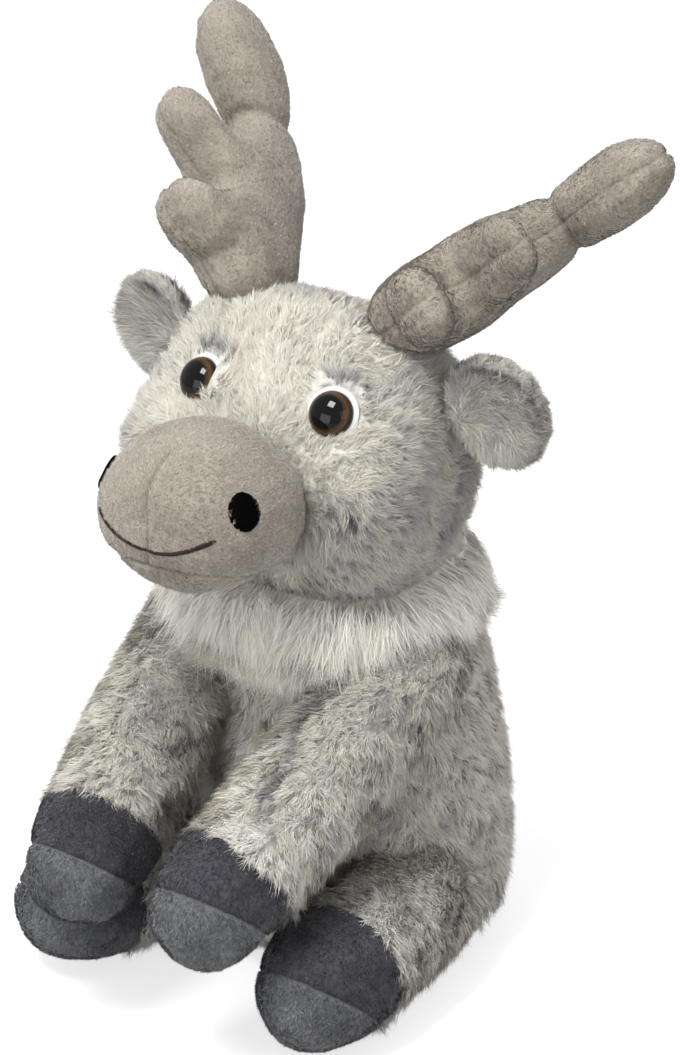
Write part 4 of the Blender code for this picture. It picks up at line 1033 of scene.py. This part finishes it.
# Antlers: two flat panels of taupe short pile sewn round the edge and filled, so that the seam
# sinks and puckers along the rim and the tines stay plump.
antler_grain, antler_plug_radius, rim_bare = 0.0007, 0.0095, 0.0004
antler_facing = {"left": np.array((0.6264, 0.0171, -0.7793)), "right": np.array((0.8726, 0.0969, 0.4787))}
antler_backward = {"left": np.array((-0.1725, 0.978, -0.1173)), "right": np.array((0.1023, 0.9221, -0.3732))}
antler_upward = {"left": np.array((0.7602, 0.2079, 0.6156)), "right": np.array((-0.4775, 0.3746, 0.7948))}
rim_shift = {"left": 0.0, "right": 0.0040}
for index, side in enumerate(("left", "right")):
    body = side + "_antler"
    cover = copy_of_nodes(body + "_skin", (body + "_cover",))
    hinge = Vector(next(j["pos_m"] for j in frame["joints"] if j["child"] == body))
    bpy.ops.object.select_all(action="DESELECT")
    bpy.ops.mesh.primitive_ico_sphere_add(subdivisions=3, radius=antler_plug_radius, location=hinge)
    plug = bpy.context.active_object
    filling = copy_of_nodes(body + "_filling", (body + "_stuffing",))
    on_whole_mesh(bpy.ops.mesh.normals_make_consistent, inside=False)
    push_vertices(filling, np.full(len(filling.data.vertices), 0.0010))
    antler_skin = join_all(body + "_skin", [cover, filling, plug])
    fine_mesh(antler_skin, antler_grain)
    on_whole_mesh(bpy.ops.mesh.separate, type="LOOSE")
    shells = sorted(bpy.context.selected_objects, key=lambda o: max(o.dimensions))
    antler_skin = shells.pop()
    for shell in shells:
        bpy.data.objects.remove(shell)
    antler_skin.name = body + "_skin"
    apply_modifier(antler_skin, "SMOOTH", factor=0.5, iterations=14)
    antler_root, facing = np.array(hinge), antler_facing[side]

    def off_rim(points, antler_root=antler_root, facing=facing, shift=rim_shift[side]):
        """Distance from the rim seam, which wanders a little."""
        return (points - antler_root) @ facing + shift + 0.0007 * ripple(points, 0.016, 109)

    points, normals, _ = mesh_arrays(antler_skin)
    off_seam = off_rim(points)
    height = (points - antler_root) @ antler_upward[side]
    depth = (points - antler_root) @ antler_backward[side]
    neck = (falloff(height - 0.0560 + 0.25 * (depth - 0.012), 0.0022)
            * np.clip((depth + 0.004) / 0.004, 0, 1))
    valley = falloff(height - 0.0300, 0.0045) * np.clip((-depth - 0.004) / 0.008, 0, 1)
    tine_ends = np.zeros(len(points))
    for tine_height, tine_depth, reach in ((0.0560, -0.0240, 0.010), (0.0250, -0.0290, 0.010)):
        tine_ends += np.exp(-((height - tine_height) ** 2 + (depth - tine_depth) ** 2) / reach ** 2)
    on_rim = np.clip(1.6 - 1.6 * np.abs(normals @ facing), 0, 1)
    rim_puckers = ripple(points, 0.0036, 101 + index)
    push_vertices(antler_skin, on_rim * (drawn_seam(off_seam, (0.0004, 0.0007), (0.0007, 0.0035))
                                         + 0.00030 * rim_puckers * falloff(off_seam, 0.005))
                  - 0.0014 * neck - 0.0012 * valley + 0.0016 * tine_ends
                  + 0.0005 * ripple(points, 0.018, 103 + index))
    mark_seams(antler_skin, on_rim * (0.35 + 0.35 * rim_puckers) * falloff(off_seam, 0.0006))
    select_only(antler_skin)
    bpy.ops.object.shade_smooth()
    antler_skin.data.materials.append(taupe_pile)

    def antler_flow(points, normals, antler_root=antler_root):
        return points - antler_root

    antler_nap = lay_pile(
        body + "_nap", antler_skin, tufts=26000, hairs=5, spread=0.0007, width=0.00019, lift=0.7,
        length=lambda p, n: np.full(len(p), 0.0010),
        flow=antler_flow, uneven=0.12,
        shade=lambda p, n: (mottled(p, 0.64, (0.10, 0.012, 105), (0.06, 0.0025, 106))
                            - 0.2 * falloff(off_rim(p), 0.0009)),
        keep=lambda p, n: np.abs(off_rim(p)) > rim_bare, material=taupe_nap, seed=107 + index, swirl=0.7,
        gather=0.7, jointed=False, softness=0.40, planted=0.0001)
    for piece in (antler_skin, antler_nap):
        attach(piece, body)
    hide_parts(body + "_cover", body + "_stuffing")


# Collar: a ruff of longer cream fur sewn into the neck seam. Its pile falls over the shoulders in
# front, and is short and lies close at the nape.
cream_fur = pile_material("cream_fur_pile", ((0.0, (0.72, 0.64, 0.50)), (0.35, (0.92, 0.88, 0.76)),
                                             (1.0, (0.97, 0.955, 0.885))),
                          ((0.0, (0.72, 0.64, 0.50)), (1.0, (0.96, 0.94, 0.86))), (0.0, 0.35), sheen=0.5)
cream_backing = backing_material("cream_fur_backing", (0.82, 0.79, 0.70), (0.92, 0.90, 0.82))
collar_skin = stuffed_skin("collar_skin", ("collar",), 0.0018, 0.0022, 10)
collar_skin.data.materials.append(cream_backing)
head_tree = skin_tree(head_skin)


def collar_front(points):
    """One over the chest, none at the nape, where the pile is short and lies close."""
    return np.clip(0.55 - points[:, 1] / 0.06, 0, 1)


def collar_flow(points, normals):
    outward = points * np.array((1.0, 1.0, 0.0))
    return unit(outward) * 0.5 + np.array((0, 0, -1.0))


collar_fur = lay_pile(
    "collar_fur", collar_skin, tufts=13000, hairs=16, spread=0.0022, width=0.00026,
    lift=lambda p, n: 0.34 + 0.42 * collar_front(p), length=lambda p, n: 0.0095 + 0.0080 * collar_front(p),
    flow=collar_flow,
    shade=lambda p, n: mottled(p, 0.86, (0.13, 0.011, 25), (0.08, 0.004, 26)),
    keep=lambda p, n: (clear_of([head_tree], p, 0.001) & (np.hypot(p[:, 0], p[:, 1]) > 0.032)
                       & (n[:, 2] < 0.75)),
    material=cream_fur, seed=27, swirl=0.35, curl=0.2, droop=0.2, gather=0.6)
for piece in (collar_skin, collar_fur):
    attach(piece, "body")
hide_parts("collar")
